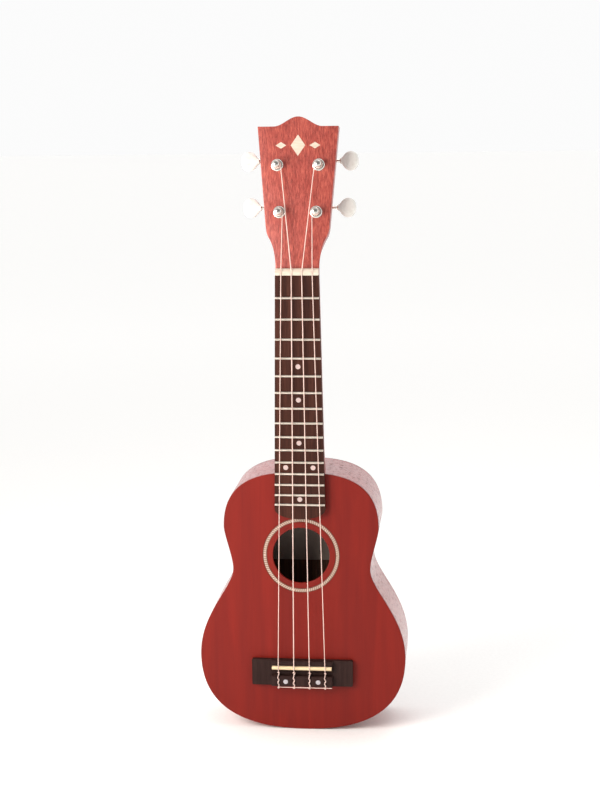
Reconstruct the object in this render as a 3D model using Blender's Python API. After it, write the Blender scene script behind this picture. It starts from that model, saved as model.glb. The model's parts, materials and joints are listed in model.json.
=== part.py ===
"""Soprano ukulele with a crown headstock, a tie bridge and four geared tuners.

Frame: +Z runs up the neck, the soundboard faces -Y, and +X is to the right seen from the front.
The origin lies inside the neck where the head starts to flare, the place that a hanger's fork grips.
Each tuner's post turns on its own axis, and each worm turns on its shaft with its button.
"""

import math

import bmesh
import bpy
from mathutils import Matrix, Vector

# ---- driving dimensions, metres ----
GAP = 0.0003                       # clearance between touching pieces
SCALE_LENGTH = 0.346
FRET_COUNT = 15
BODY_FRET = 12                     # the fret at the neck joint
NUT_Z = -0.020                     # fretboard end of the nut
FACE_Y = -0.010                    # front face of the soundboard

BODY_DEPTH = 0.062
PLATE_T = 0.0022                   # soundboard and back
RIB_T = 0.0020                     # sides
UPPER_BOUT = (0.0683, NUT_Z - 0.2223)
WAIST = (0.0607, NUT_Z - 0.2606)
LOWER_BOUT = (0.0915, NUT_Z - 0.3414)
TAIL_Z = NUT_Z - 0.4097
OUTLINE_HANDLES = ((0.026, 0.0477), (0.0082, 0.0108), (0.0178, 0.0386), (0.046, 0.060))
OUTLINE_STEPS = (11, 6, 9, 15)

HOLE_Z = NUT_Z - 0.2479
HOLE_R = 0.0251
ROSETTE_R = 0.03215
ROSETTE_W = 0.0036
ROSETTE_T = 0.0009

BOARD_T = 0.005
BOARD_HALF_NUT = 0.0187
BOARD_TAPER = 0.0168               # half-width gained for each metre of length
BOARD_CORNER_Z = NUT_Z - 0.2050
BOARD_END_Z = NUT_Z - 0.2136
FRET_CROWN_W = 0.0020
FRET_CROWN_H = 0.0010
FRET_TANG_W = 0.0005
FRET_TANG_H = 0.0014

NUT_LENGTH = 0.0055
NUT_RISE = 0.0018                  # nut above the fretboard
STRING_NUT_X = (-0.0133, -0.00443, 0.00443, 0.0133)
STRING_SADDLE_X = (-0.0208, -0.00693, 0.00693, 0.0208)
STRING_R = (0.00040, 0.00050, 0.00045, 0.00040)
STRING_NAMES = ("g", "c", "e", "a")

NECK_T_NUT = 0.0135                # neck behind the fretboard plane
NECK_T_HEEL = 0.0155
HEEL_START_Z = NUT_Z - 0.138
HEEL_DEPTH = 0.0575

HEAD_TILT = math.radians(10.0)
HEAD_T = 0.0125
HEAD_FOOT_Z = NUT_Z + 0.006        # where the head face leaves the neck's plane
HEAD_FOOT_HALF = 0.0187
HEAD_FLARE = (0.0243, 0.0246)      # half-width and height of the flare's inflection
HEAD_SHOULDER = (0.0274, 0.0355)
HEAD_TOP = (0.0346, 0.1196)
CROWN_H = 0.0083
CROWN_HALF = 0.0210

POST_X = (0.0177, 0.01575)         # upper and lower pair, from the centre line
POST_S = (0.0869, 0.0470)          # up the head from its foot
POST_R = 0.0030
POST_RISE = 0.0115                 # post above the head's face
POST_SPINDLE_R = 0.0020
BUSHING_FLANGE_R = 0.0053
BUSHING_R = 0.0041
BUSHING_BORE_R = 0.0034
BUSHING_DEPTH = 0.0075
STRING_BORE_R = 0.0008
STRING_BORE_RISE = 0.0062

GEAR_TEETH = 14
GEAR_PITCH_R = 0.0035
GEAR_ADDENDUM = 0.00045
GEAR_DEDENDUM = 0.00070
GEAR_T = 0.0032
WORM_PITCH = 2 * math.pi * GEAR_PITCH_R / GEAR_TEETH
WORM_PITCH_R = 0.0019
WORM_OUTER_R = 0.00235
WORM_ROOT_R = 0.0012
WORM_TURNS = 4
WORM_SIDES = 12
WORM_UP = GEAR_PITCH_R + WORM_PITCH_R
WORM_BACK = 0.0050                 # worm axis behind the head's back face
SHAFT_R = 0.00135
PLATE_SHEET = 0.0010
PLATE_HALF_X = 0.0074
PLATE_LOW = -0.0062
PLATE_HIGH = 0.0092
EAR_IN = 0.0052
EAR_OUT = 0.0064
BUTTON_START = 0.0176              # button's inner end from the post axis
BUTTON_LENGTH = 0.0153
BUTTON_HALF = 0.0084
BUTTON_THICK = 0.0068

BRIDGE_HALF = 0.0450
BRIDGE_FRONT_Z = NUT_Z - 0.3432
BRIDGE_BACK_Z = NUT_Z - 0.3670
BRIDGE_WING_T = 0.0040
BLOCK_HALF = 0.0272
SADDLE_Z = NUT_Z - 0.3495
SADDLE_HALF = 0.0265
SADDLE_T = 0.0030
SADDLE_TOP = 0.0096                # above the soundboard
TIE_TOP = 0.0085
TIE_FRONT_Z = NUT_Z - 0.3572
TIE_BORE_R = 0.0010
TIE_BORE_H = 0.0052
VALLEY_H = 0.0042

BLOCK_NECK_HALF = 0.026
BLOCK_TAIL_HALF = 0.024
BLOCK_T = 0.016
LINING_W = 0.0045
LINING_H = 0.0060
BRACE_W = 0.0070
BRACE_H = 0.0080
PATCH_HALF = 0.0360                # bridge patch
PATCH_T = 0.0020


# ---- small tools ----
def clear_scene():
    for item in list(bpy.data.objects):
        bpy.data.objects.remove(item, do_unlink=True)


def finish(name, colour, roughness, metallic=0.0):
    """A Principled material from linear colour, roughness and metallic."""
    material = bpy.data.materials.new(name)
    material.use_nodes = True
    shader = material.node_tree.nodes["Principled BSDF"]
    shader.inputs["Base Color"].default_value = (*colour, 1.0)
    shader.inputs["Roughness"].default_value = roughness
    shader.inputs["Metallic"].default_value = metallic
    return material


def make(name, bm, material=None, parent=None, smooth=None):
    """Turn a closed bmesh into a named object, with its faces pointing out."""
    bmesh.ops.recalc_face_normals(bm, faces=bm.faces)
    mesh = bpy.data.meshes.new(name)
    bm.to_mesh(mesh)
    bm.free()
    if smooth is not None:
        mesh.shade_smooth()
        mesh.set_sharp_from_angle(angle=math.radians(smooth))
    item = bpy.data.objects.new(name, mesh)
    bpy.context.scene.collection.objects.link(item)
    if material is not None:
        mesh.materials.append(material)
    item.parent = parent
    return item


def empty(name, parent=None, location=(0, 0, 0), rotation=(0, 0, 0)):
    item = bpy.data.objects.new(name, None)
    bpy.context.scene.collection.objects.link(item)
    item.parent = parent
    item.location = location
    item.rotation_euler = rotation
    return item


def guide(bm, name, parent=None):
    """A cutter or a joined-in shape: it is drawn as wire and isn't rendered."""
    item = make(name, bm, parent=parent)
    item.hide_render = True
    item.display_type = "WIRE"
    return item


def boolean(item, other, operation="DIFFERENCE"):
    step = item.modifiers.new(operation.lower(), "BOOLEAN")
    step.object = other
    step.operation = operation
    step.solver = "EXACT"


def skin(bm, loops, closed_ends=True):
    """Join equal closed loops of points into a tube, with flat ends."""
    rings = [[bm.verts.new(point) for point in loop] for loop in loops]
    count = len(rings[0])
    for low, high in zip(rings, rings[1:]):
        for i in range(count):
            j = (i + 1) % count
            bm.faces.new((low[i], low[j], high[j], high[i]))
    if closed_ends:
        bm.faces.new(rings[0])
        bm.faces.new(rings[-1])
    return rings


def prism_y(bm, outline, y0, y1):
    """Extrude an outline of (x, z) points along Y."""
    skin(bm, [[(x, y0, z) for x, z in outline], [(x, y1, z) for x, z in outline]])


def prism_x(bm, outline, x0, x1):
    """Extrude an outline of (y, z) points along X."""
    skin(bm, [[(x0, y, z) for y, z in outline], [(x1, y, z) for y, z in outline]])


def box(bm, low, high):
    prism_y(bm, [(low[0], low[2]), (high[0], low[2]), (high[0], high[2]), (low[0], high[2])],
            low[1], high[1])


def turned(bm, profile, sides, axis="Y"):
    """Turn a profile of (radius, along) points, which starts and ends off the axis, about an axis."""
    loops = []
    for radius, along in profile:
        loop = []
        for i in range(sides):
            angle = 2 * math.pi * i / sides
            a = radius * math.cos(angle)
            b = radius * math.sin(angle)
            loop.append((a, along, b) if axis == "Y" else (along, a, b))
        loops.append(loop)
    skin(bm, loops)


def ring_y(bm, inner, outer, y0, y1, centre_z, sides):
    """A flat ring about a line along Y."""
    loops = []
    for radius, y in ((inner, y0), (outer, y0), (outer, y1), (inner, y1)):
        loops.append([(radius * math.cos(2 * math.pi * i / sides), y,
                       centre_z + radius * math.sin(2 * math.pi * i / sides)) for i in range(sides)])
    loops.append(loops[0])
    rings = skin(bm, loops, closed_ends=False)
    for first, last in zip(rings[0], rings[-1]):
        bmesh.ops.weld_verts(bm, targetmap={last: first})


def rod_y(radius, sides, y0, y1, x=0.0, z=0.0):
    """A cutting rod along Y."""
    bm = bmesh.new()
    turned(bm, [(radius, y0), (radius, y1)], sides)
    bmesh.ops.translate(bm, verts=bm.verts, vec=(x, 0, z))
    return bm


def bezier(p0, p1, p2, p3, steps):
    """Points of a cubic curve after its first point."""
    points = []
    for i in range(1, steps + 1):
        t = i / steps
        weights = ((1 - t) ** 3, 3 * (1 - t) ** 2 * t, 3 * (1 - t) * t * t, t ** 3)
        points.append(tuple(sum(w * p[k] for w, p in zip(weights, (p0, p1, p2, p3))) for k in (0, 1)))
    return points


def lerp(a, b, t):
    return a + (b - a) * t


# ---- shared layout ----
def fret_z(number):
    return NUT_Z - SCALE_LENGTH * (1 - 2 ** (-number / 12))


def board_half(z):
    return BOARD_HALF_NUT + BOARD_TAPER * (NUT_Z - z)


BODY_TOP_Z = fret_z(BODY_FRET) - 0.0002
BOARD_TOP_Y = FACE_Y - GAP - BOARD_T
BACK_Y = FACE_Y + BODY_DEPTH


def half_outline():
    """Right half of the body's outline, from the neck joint to the tail, as (x, z)."""
    stations = ((0.0, BODY_TOP_Z), UPPER_BOUT, WAIST, LOWER_BOUT, (0.0, TAIL_Z))
    headings = ((1, 0), (0, -1), (0, -1), (0, -1), (-1, 0))
    points = [stations[0]]
    for i in range(4):
        start, end = stations[i], stations[i + 1]
        out, back = OUTLINE_HANDLES[i]
        first = (start[0] + headings[i][0] * out, start[1] + headings[i][1] * out)
        second = (end[0] - headings[i + 1][0] * back, end[1] - headings[i + 1][1] * back)
        points += bezier(start, first, second, end, OUTLINE_STEPS[i])
    points[-1] = (0.0, TAIL_Z)
    return points


def inset(points, distance):
    """Move a half outline inwards, and keep its ends on the centre line."""
    moved = []
    for i, (x, z) in enumerate(points):
        before = points[max(i - 1, 0)]
        after = points[min(i + 1, len(points) - 1)]
        along = Vector((after[0] - before[0], after[1] - before[1]))
        if i in (0, len(points) - 1):
            along.y = 0.0
        along.normalize()
        moved.append((x + along.y * distance, z - along.x * distance))
    return moved


def whole(half):
    """A closed outline from its right half."""
    return half + [(-x, z) for x, z in reversed(half[1:-1])]


# ---- sound box ----
def make_soundboard(material):
    bm = bmesh.new()
    prism_y(bm, whole(half_outline()), FACE_Y, FACE_Y + PLATE_T)
    board = make("soundboard", bm, material)
    boolean(board, guide(rod_y(HOLE_R, 40, FACE_Y - 0.002, FACE_Y + 0.01, z=HOLE_Z), "sound_hole_cutter"))
    bm = bmesh.new()
    half = ROSETTE_W / 2 + GAP
    ring_y(bm, ROSETTE_R - half, ROSETTE_R + half, FACE_Y - 0.001, FACE_Y + ROSETTE_T + GAP, HOLE_Z, 48)
    boolean(board, guide(bm, "rosette_channel_cutter"))


def make_rosette(material):
    bm = bmesh.new()
    half = ROSETTE_W / 2
    ring_y(bm, ROSETTE_R - half, ROSETTE_R + half, FACE_Y, FACE_Y + ROSETTE_T, HOLE_Z, 48)
    make("rosette", bm, material, smooth=40)


def make_back(material):
    bm = bmesh.new()
    prism_y(bm, whole(half_outline()), BACK_Y - PLATE_T, BACK_Y)
    make("back", bm, material)


def strip(name, outer, inner, y0, y1, side, material):
    """A bent strip between two half outlines, on one side of the centre line."""
    points = [(side * max(x, GAP / 2), z) for x, z in outer]
    points += [(side * max(x, GAP / 2), z) for x, z in reversed(inner)]
    bm = bmesh.new()
    prism_y(bm, points, y0, y1)
    make(name, bm, material)


def make_sides(material):
    outer = half_outline()
    inner = inset(outer, RIB_T)
    for name, side in (("side_left", -1), ("side_right", 1)):
        strip(name, outer, inner, FACE_Y + PLATE_T + GAP, BACK_Y - PLATE_T - GAP, side, material)


def make_linings(material):
    """Strips that widen the glue joint between the sides and both plates, from block to block."""
    middle = (BODY_TOP_Z + TAIL_Z) / 2
    outline = half_outline()
    outer = inset(outline, RIB_T + GAP)
    inner = inset(outline, RIB_T + GAP + LINING_W)
    kept = []
    for far, near in zip(outer, inner):
        limit = (BLOCK_NECK_HALF if far[1] > middle else BLOCK_TAIL_HALF) + 2 * GAP
        if min(far[0], near[0]) > limit:
            kept.append((far, near))
    outer = [far for far, near in kept]
    inner = [near for far, near in kept]
    front = FACE_Y + PLATE_T + GAP
    rear = BACK_Y - PLATE_T - GAP
    for side_name, side in (("left", -1), ("right", 1)):
        strip("top_lining_" + side_name, outer, inner, front, front + LINING_H, side, material)
        strip("back_lining_" + side_name, outer, inner, rear - LINING_H, rear, side, material)


def make_blocks(material):
    """Blocks that join the two sides, under the heel and at the tail."""
    outline = inset(half_outline(), RIB_T + GAP)
    front = FACE_Y + PLATE_T + GAP
    rear = BACK_Y - PLATE_T - GAP
    for name, half, points, way in (
        ("neck_block", BLOCK_NECK_HALF, outline, -1),
        ("tail_block", BLOCK_TAIL_HALF, outline[::-1], 1),
    ):
        edge = [point for point in points[:12] if point[0] < half - 0.001]
        last = next(point for point in points if point[0] >= half - 0.001)
        share = (half - edge[-1][0]) / (last[0] - edge[-1][0])
        edge.append((half, lerp(edge[-1][1], last[1], share)))
        inner_z = points[0][1] + way * BLOCK_T
        right = edge + [(half, inner_z)]
        shape = right + [(-x, z) for x, z in reversed(right) if x > 0]
        bm = bmesh.new()
        prism_y(bm, shape, front, rear)
        make(name, bm, material)


def inner_half_at(z):
    """Half-width between the linings at a height."""
    points = inset(half_outline(), RIB_T + GAP + LINING_W)
    for (x0, z0), (x1, z1) in zip(points, points[1:]):
        if z1 <= z <= z0:
            return min(x0, x1)
    return 0.0


def make_braces(material):
    """Cross bars under the soundboard and on the back, and the patch under the bridge."""
    front = FACE_Y + PLATE_T + GAP
    rear = BACK_Y - PLATE_T - GAP
    bars = (
        ("top_brace_upper", NUT_Z - 0.2075, 1),
        ("top_brace_lower", NUT_Z - 0.2900, 1),
        ("back_brace_upper", NUT_Z - 0.2230, -1),
        ("back_brace_lower", NUT_Z - 0.3350, -1),
    )
    for name, z, way in bars:
        plate_y = front if way > 0 else rear
        reach = min(inner_half_at(z + BRACE_W / 2), inner_half_at(z - BRACE_W / 2)) - 2 * GAP
        y = [plate_y + way * share * BRACE_H for share in (0.0, 0.6, 1.0)]
        half = BRACE_W / 2
        shape = [(y[0], z - half), (y[1], z - half), (y[2], z - half * 0.35),
                 (y[2], z + half * 0.35), (y[1], z + half), (y[0], z + half)]
        bm = bmesh.new()
        prism_x(bm, shape, -reach, reach)
        make(name, bm, material)
    bm = bmesh.new()
    box(bm, (-PATCH_HALF, front, BRIDGE_BACK_Z - 0.006), (PATCH_HALF, front + PATCH_T, BRIDGE_FRONT_Z + 0.004))
    make("bridge_patch", bm, material)


# ---- neck and head ----
def head_half(s):
    """Half-width of the head at a height above its foot."""
    foot = (HEAD_FOOT_HALF, 0.0)
    for p0, p1, p2, p3 in head_spans(foot):
        if p0[1] <= s <= p3[1]:
            low, high = 0.0, 1.0
            for _ in range(30):
                t = (low + high) / 2
                w = ((1 - t) ** 3, 3 * (1 - t) ** 2 * t, 3 * (1 - t) * t * t, t ** 3)
                x, height = (sum(a * p[k] for a, p in zip(w, (p0, p1, p2, p3))) for k in (0, 1))
                low, high = (t, high) if height < s else (low, t)
            return x
    return lerp(HEAD_SHOULDER[0], HEAD_TOP[0], (s - HEAD_SHOULDER[1]) / (HEAD_TOP[1] - HEAD_SHOULDER[1]))


def head_spans(foot):
    """The flare from the neck's width and the rounded corner above it."""
    flare, shoulder = HEAD_FLARE, HEAD_SHOULDER
    lean = (HEAD_TOP[0] - shoulder[0]) / (HEAD_TOP[1] - shoulder[1])
    yield (foot, (foot[0] + 0.0002, 0.007), (flare[0] - 0.0042, flare[1] - 0.0068), flare)
    yield (flare, (flare[0] + 0.0020, flare[1] + 0.0033), (shoulder[0] - 0.0045 * lean, shoulder[1] - 0.0045),
           shoulder)


def neck_section(origin, tilt, half, thick, squareness):
    """One closed section: a flat front, and a back between a D and a rectangle."""
    front_count, side_count, back_count = 2, 2, 10
    rows = [(lerp(-half, half, i / front_count), 0.0) for i in range(front_count + 1)]
    square = [(half, thick * i / side_count) for i in range(1, side_count)]
    square += [(lerp(half, -half, i / back_count), thick) for i in range(back_count + 1)]
    square += [(-half, thick * (side_count - i) / side_count) for i in range(1, side_count)]
    steps = len(square) + 1
    for i, (x, depth) in enumerate(square, start=1):
        angle = math.pi * i / steps
        round_x = half * math.cos(angle)
        round_depth = thick * math.sin(angle) ** 0.85
        rows.append((lerp(round_x, x, squareness), lerp(round_depth, depth, squareness)))
    back = Vector((0.0, math.cos(tilt), -math.sin(tilt)))
    return [tuple(Vector(origin) + Vector((x, 0, 0)) + back * depth) for x, depth in rows]


def head_point(s):
    """A point on the head's face, on the centre line."""
    return (0.0, FACE_Y + s * math.sin(HEAD_TILT), HEAD_FOOT_Z + s * math.cos(HEAD_TILT))


def crown_cutter(head):
    """All that lies above the head's top edge: flat shoulders and a smooth wave between them."""
    steps = 20
    wave = []
    for i in range(steps + 1):
        x = lerp(-CROWN_HALF, CROWN_HALF, i / steps)
        wave.append((x, HEAD_TOP[1] + CROWN_H * 0.5 * (1 + math.cos(math.pi * x / CROWN_HALF))))
    far, high = 0.05, HEAD_TOP[1] + 0.03
    outline = [(-far, HEAD_TOP[1])] + wave + [(far, HEAD_TOP[1]), (far, high), (-far, high)]
    bm = bmesh.new()
    prism_y(bm, outline, -0.005, HEAD_T + 0.005)
    return guide(bm, "crown_cutter", head)


def make_neck(material, head):
    sections = [neck_section((0, FACE_Y, BODY_TOP_Z - 0.004), 0.0, board_half(BODY_TOP_Z), HEEL_DEPTH, 0.0)]
    for share in (1.0, 0.985, 0.94, 0.85, 0.70, 0.50, 0.25, 0.0):
        z = lerp(HEEL_START_Z, BODY_TOP_Z + 0.001, 1 - (1 - share) ** 0.62)
        depth = lerp(NECK_T_HEEL, HEEL_DEPTH, 1 - math.sqrt(1 - share ** 2))
        sections.append(neck_section((0, FACE_Y, z), 0.0, board_half(z) + 0.0001, depth, 0.0))
    for share in (0.33, 0.66, 1.0):
        z = lerp(HEEL_START_Z, NUT_Z - 0.010, share)
        thick = lerp(NECK_T_HEEL, NECK_T_NUT, share)
        sections.append(neck_section((0, FACE_Y, z), 0.0, board_half(z) + 0.0001, thick, 0.0))
    sections.append(neck_section((0, FACE_Y, NUT_Z + 0.001), 0.0, HEAD_FOOT_HALF, NECK_T_NUT, 0.05))
    for s, squareness in ((0.003, 0.12), (0.009, 0.35), (0.015, 0.62), (0.0205, 0.88), (0.0246, 1.0),
                          (0.0275, 1.0), (0.031, 1.0), (0.0355, 1.0), (0.1320, 1.0)):
        thick = lerp(NECK_T_NUT, HEAD_T, min(1.0, s / 0.02))
        sections.append(neck_section(head_point(s), HEAD_TILT, head_half(s), thick, squareness))
    bm = bmesh.new()
    skin(bm, sections)
    neck = make("neck", bm, material, smooth=35)
    bm = bmesh.new()
    prism_y(bm, whole(inset(half_outline(), -GAP)), FACE_Y - 0.005, BACK_Y + 0.005)
    boolean(neck, guide(bm, "heel_cutter"))
    boolean(neck, crown_cutter(head))
    for pair in (0, 1):
        for side in (-1, 1):
            rod = rod_y(BUSHING_R + GAP, 20, -0.002, HEAD_T + 0.002, side * POST_X[pair], POST_S[pair])
            boolean(neck, guide(rod, "post_hole_cutter_%d_%d" % (pair, side + 1), head))


# ---- fretboard, frets, nut ----
def make_fretboard(material):
    end = []
    steps = 12
    half = board_half(BOARD_CORNER_Z)
    for i in range(steps + 1):
        angle = math.pi * i / steps
        end.append((half * math.cos(angle), BOARD_CORNER_Z - (BOARD_CORNER_Z - BOARD_END_Z) * math.sin(angle)))
    top_z = NUT_Z - GAP
    outline = [(-board_half(top_z), top_z), (board_half(top_z), top_z)] + end
    bm = bmesh.new()
    prism_y(bm, outline, BOARD_TOP_Y, FACE_Y - GAP)
    board = make("fretboard", bm, material)
    bm = bmesh.new()
    slot = FRET_TANG_W / 2 + GAP
    for number in range(1, FRET_COUNT + 1):
        z = fret_z(number)
        box(bm, (-0.03, BOARD_TOP_Y - 0.002, z - slot), (0.03, BOARD_TOP_Y + FRET_TANG_H + GAP, z + slot))
    boolean(board, guide(bm, "fret_slot_cutter"))


def make_frets(material):
    base_y = BOARD_TOP_Y - GAP
    steps = 6
    for number in range(1, FRET_COUNT + 1):
        z = fret_z(number)
        profile = []
        for i in range(steps + 1):
            angle = math.pi * i / steps
            profile.append((base_y - FRET_CROWN_H * math.sin(angle), z + FRET_CROWN_W / 2 * math.cos(angle)))
        tang = FRET_TANG_W / 2
        profile += [(base_y, z - tang), (base_y + GAP + FRET_TANG_H, z - tang),
                    (base_y + GAP + FRET_TANG_H, z + tang), (base_y, z + tang)]
        bm = bmesh.new()
        half = board_half(z) - 0.0002
        prism_x(bm, profile, -half, half)
        make("fret_%02d" % number, bm, material)


def nut_string_y(radius):
    return BOARD_TOP_Y - FRET_CROWN_H - 3 * GAP - radius


def saddle_string_y(radius):
    return FACE_Y - SADDLE_TOP - GAP - radius


def make_nut(material):
    top = BOARD_TOP_Y - NUT_RISE
    near = NUT_Z
    far = NUT_Z + NUT_LENGTH
    profile = [(FACE_Y - GAP, near), (top + 0.0002, near), (top, near + 0.0006), (top + 0.0004, near + 0.003),
               (top + 0.0020, far - 0.0004), (top + 0.0028, far), (FACE_Y - GAP, far)]
    bm = bmesh.new()
    prism_x(bm, profile, -0.0184, 0.0184)
    nut = make("nut", bm, material)
    bm = bmesh.new()
    for x, radius in zip(STRING_NUT_X, STRING_R):
        wide = radius + GAP
        y = nut_string_y(radius)
        slot = [(x - wide, top - 0.003), (x + wide, top - 0.003)]
        for i in range(7):
            angle = math.pi * i / 6
            slot.append((x + wide * math.cos(angle), y + wide * math.sin(angle)))
        low = [(px, py, near - 0.002) for px, py in slot]
        high = [(px, py + 0.0022, far + 0.002) for px, py in slot]
        skin(bm, [low, high])
    boolean(nut, guide(bm, "nut_slot_cutter"))


# ---- bridge ----
def make_bridge(material):
    base = FACE_Y - GAP
    front, rear = BRIDGE_FRONT_Z, BRIDGE_BACK_Z
    corner = 0.0012
    plan = []
    for cx, cz, start in ((BRIDGE_HALF, front, 0), (-BRIDGE_HALF, front, 1), (-BRIDGE_HALF, rear, 2),
                          (BRIDGE_HALF, rear, 3)):
        x = cx - math.copysign(corner, cx)
        z = cz - corner if cz == front else cz + corner
        for i in range(4):
            angle = math.pi / 2 * (start + i / 3)
            plan.append((x + corner * math.cos(angle), z + corner * math.sin(angle)))
    bm = bmesh.new()
    prism_y(bm, plan, base - BRIDGE_WING_T, base)
    bridge = make("bridge", bm, material)
    high, tie = FACE_Y - 0.0075, FACE_Y - TIE_TOP
    rise = [(base - 0.001, front - 0.0004), (high + 0.0012, front - 0.0004), (high, front - 0.0018),
            (high, SADDLE_Z - 0.0028), (FACE_Y - VALLEY_H - 0.0012, SADDLE_Z - 0.0036),
            (FACE_Y - VALLEY_H, SADDLE_Z - 0.0050), (FACE_Y - VALLEY_H, TIE_FRONT_Z),
            (tie + 0.0008, TIE_FRONT_Z), (tie, TIE_FRONT_Z - 0.0008), (tie, rear + 0.0008),
            (tie + 0.0008, rear + 0.0002), (base - 0.001, rear + 0.0002)]
    bm = bmesh.new()
    prism_x(bm, rise, -BLOCK_HALF, BLOCK_HALF)
    boolean(bridge, guide(bm, "bridge_block_shape"), "UNION")
    bm = bmesh.new()
    slot = SADDLE_T / 2 + GAP
    box(bm, (-SADDLE_HALF - GAP, FACE_Y - 0.02, SADDLE_Z - slot),
        (SADDLE_HALF + GAP, FACE_Y - 0.0036, SADDLE_Z + slot))
    boolean(bridge, guide(bm, "saddle_slot_cutter"))
    bm = bmesh.new()
    for x in STRING_SADDLE_X:
        turned_z(bm, TIE_BORE_R, x, FACE_Y - TIE_BORE_H, rear - 0.004, TIE_FRONT_Z + 0.002, 10)
    boolean(bridge, guide(bm, "tie_hole_cutter"))


def turned_z(bm, radius, x, y, z0, z1, sides):
    """A rod along Z."""
    loops = []
    for z in (z0, z1):
        loops.append([(x + radius * math.cos(2 * math.pi * i / sides),
                       y + radius * math.sin(2 * math.pi * i / sides), z) for i in range(sides)])
    skin(bm, loops)


def make_saddle(material):
    top = FACE_Y - SADDLE_TOP
    foot = FACE_Y - 0.0036 - GAP
    half = SADDLE_T / 2
    profile = [(foot, SADDLE_Z - half), (top + 0.0010, SADDLE_Z - half), (top + 0.0003, SADDLE_Z - half * 0.6),
               (top, SADDLE_Z), (top + 0.0003, SADDLE_Z + half * 0.6), (top + 0.0010, SADDLE_Z + half),
               (foot, SADDLE_Z + half)]
    bm = bmesh.new()
    prism_x(bm, profile, -SADDLE_HALF, SADDLE_HALF)
    make("saddle", bm, material)


# ---- tuners ----
def tuner_layout():
    """Name, side, index of the pair, and string for each tuner."""
    return (
        ("upper_left", -1, 0, 1),
        ("upper_right", 1, 0, 2),
        ("lower_left", -1, 1, 0),
        ("lower_right", 1, 1, 3),
    )


def mirrored(bm, side):
    if side < 0:
        bmesh.ops.transform(bm, matrix=Matrix.Diagonal((-1, 1, 1, 1)), verts=bm.verts)
    return bm


def make_plate(name, side, mount, material):
    """Sheet plate with two bent ears that carry the worm shaft."""
    bm = bmesh.new()
    y0, y1 = GAP, GAP + PLATE_SHEET
    box(bm, (-PLATE_HALF_X, y0, PLATE_LOW), (PLATE_HALF_X, y1, PLATE_HIGH))
    plate = make("tuner_plate_" + name, mirrored(bm, side), material, mount)
    for label, x0, x1 in (("inner", -EAR_OUT, -EAR_IN), ("outer", EAR_IN, EAR_OUT)):
        ear = []
        ear_half = 0.0030
        for i in range(9):
            angle = math.pi * i / 8
            ear.append((WORM_BACK + ear_half * math.sin(angle), WORM_UP + ear_half * math.cos(angle)))
        ear += [(y0 + PLATE_SHEET / 2, WORM_UP - ear_half), (y0 + PLATE_SHEET / 2, WORM_UP + ear_half)]
        bm = bmesh.new()
        prism_x(bm, ear, x0, x1)
        boolean(plate, guide(mirrored(bm, side), "ear_%s_%s" % (label, name), mount), "UNION")
    bm = bmesh.new()
    turned(bm, [(SHAFT_R + GAP, -0.009), (SHAFT_R + GAP, 0.009)], 12, axis="X")
    bmesh.ops.translate(bm, verts=bm.verts, vec=(0, WORM_BACK, WORM_UP))
    boolean(plate, guide(mirrored(bm, side), "shaft_hole_" + name, mount))
    boolean(plate, guide(rod_y(POST_R + 2 * GAP, 16, -0.002, 0.003), "post_hole_" + name, mount))


def make_worm(name, side, turn, material):
    """Shaft with a single-start thread. Its axis is the parent's X axis."""
    bm = bmesh.new()
    sides, rows = WORM_SIDES, 4 * WORM_TURNS
    radii = (WORM_ROOT_R, WORM_ROOT_R, WORM_OUTER_R, WORM_OUTER_R)
    offsets = (0.0, 0.30, 0.52, 0.78)
    start = -WORM_PITCH * (WORM_TURNS // 2 + offsets[1] / 2)

    def point(step, row):
        angle = 2 * math.pi * step / sides - math.pi / 2
        x = start + WORM_PITCH * (step / sides + row // 4 + offsets[row % 4])
        radius = radii[row % 4]
        return (x, radius * math.cos(angle), radius * math.sin(angle))

    grid = [[bm.verts.new(point(step, row)) for row in range(rows + 1)] for step in range(sides)]
    grid.append(grid[0][4:] + [bm.verts.new(point(sides, row)) for row in range(rows - 3, rows + 1)])
    for step in range(sides):
        for row in range(rows):
            bm.faces.new((grid[step][row], grid[step + 1][row], grid[step + 1][row + 1], grid[step][row + 1]))
    finish_x = start + WORM_PITCH * (WORM_TURNS + 1)
    shaft_ends = ((start - 0.0005, -EAR_OUT - 0.0012), (finish_x + 0.0005, BUTTON_START + 0.0095))
    for end, (near, far) in enumerate(shaft_ends):
        rings = []
        for x in (near, far):
            rings.append([bm.verts.new((x, SHAFT_R * math.cos(2 * math.pi * i / sides - math.pi / 2),
                                        SHAFT_R * math.sin(2 * math.pi * i / sides - math.pi / 2)))
                          for i in range(sides)])
        row = 0 if end == 0 else rows
        for step in range(sides):
            bm.faces.new((grid[step][row], grid[step + 1][row], rings[0][(step + 1) % sides], rings[0][step]))
        column = [grid[0][k] for k in range(5)] if end == 0 else [grid[sides][rows - k] for k in range(5)]
        for a, b in zip(column, column[1:]):
            bm.faces.new((a, b, rings[0][0]))
        for i in range(sides):
            j = (i + 1) % sides
            bm.faces.new((rings[0][i], rings[0][j], rings[1][j], rings[1][i]))
        bm.faces.new(rings[1])
    make("worm_shaft_" + name, mirrored(bm, side), material, turn, smooth=35)


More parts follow.
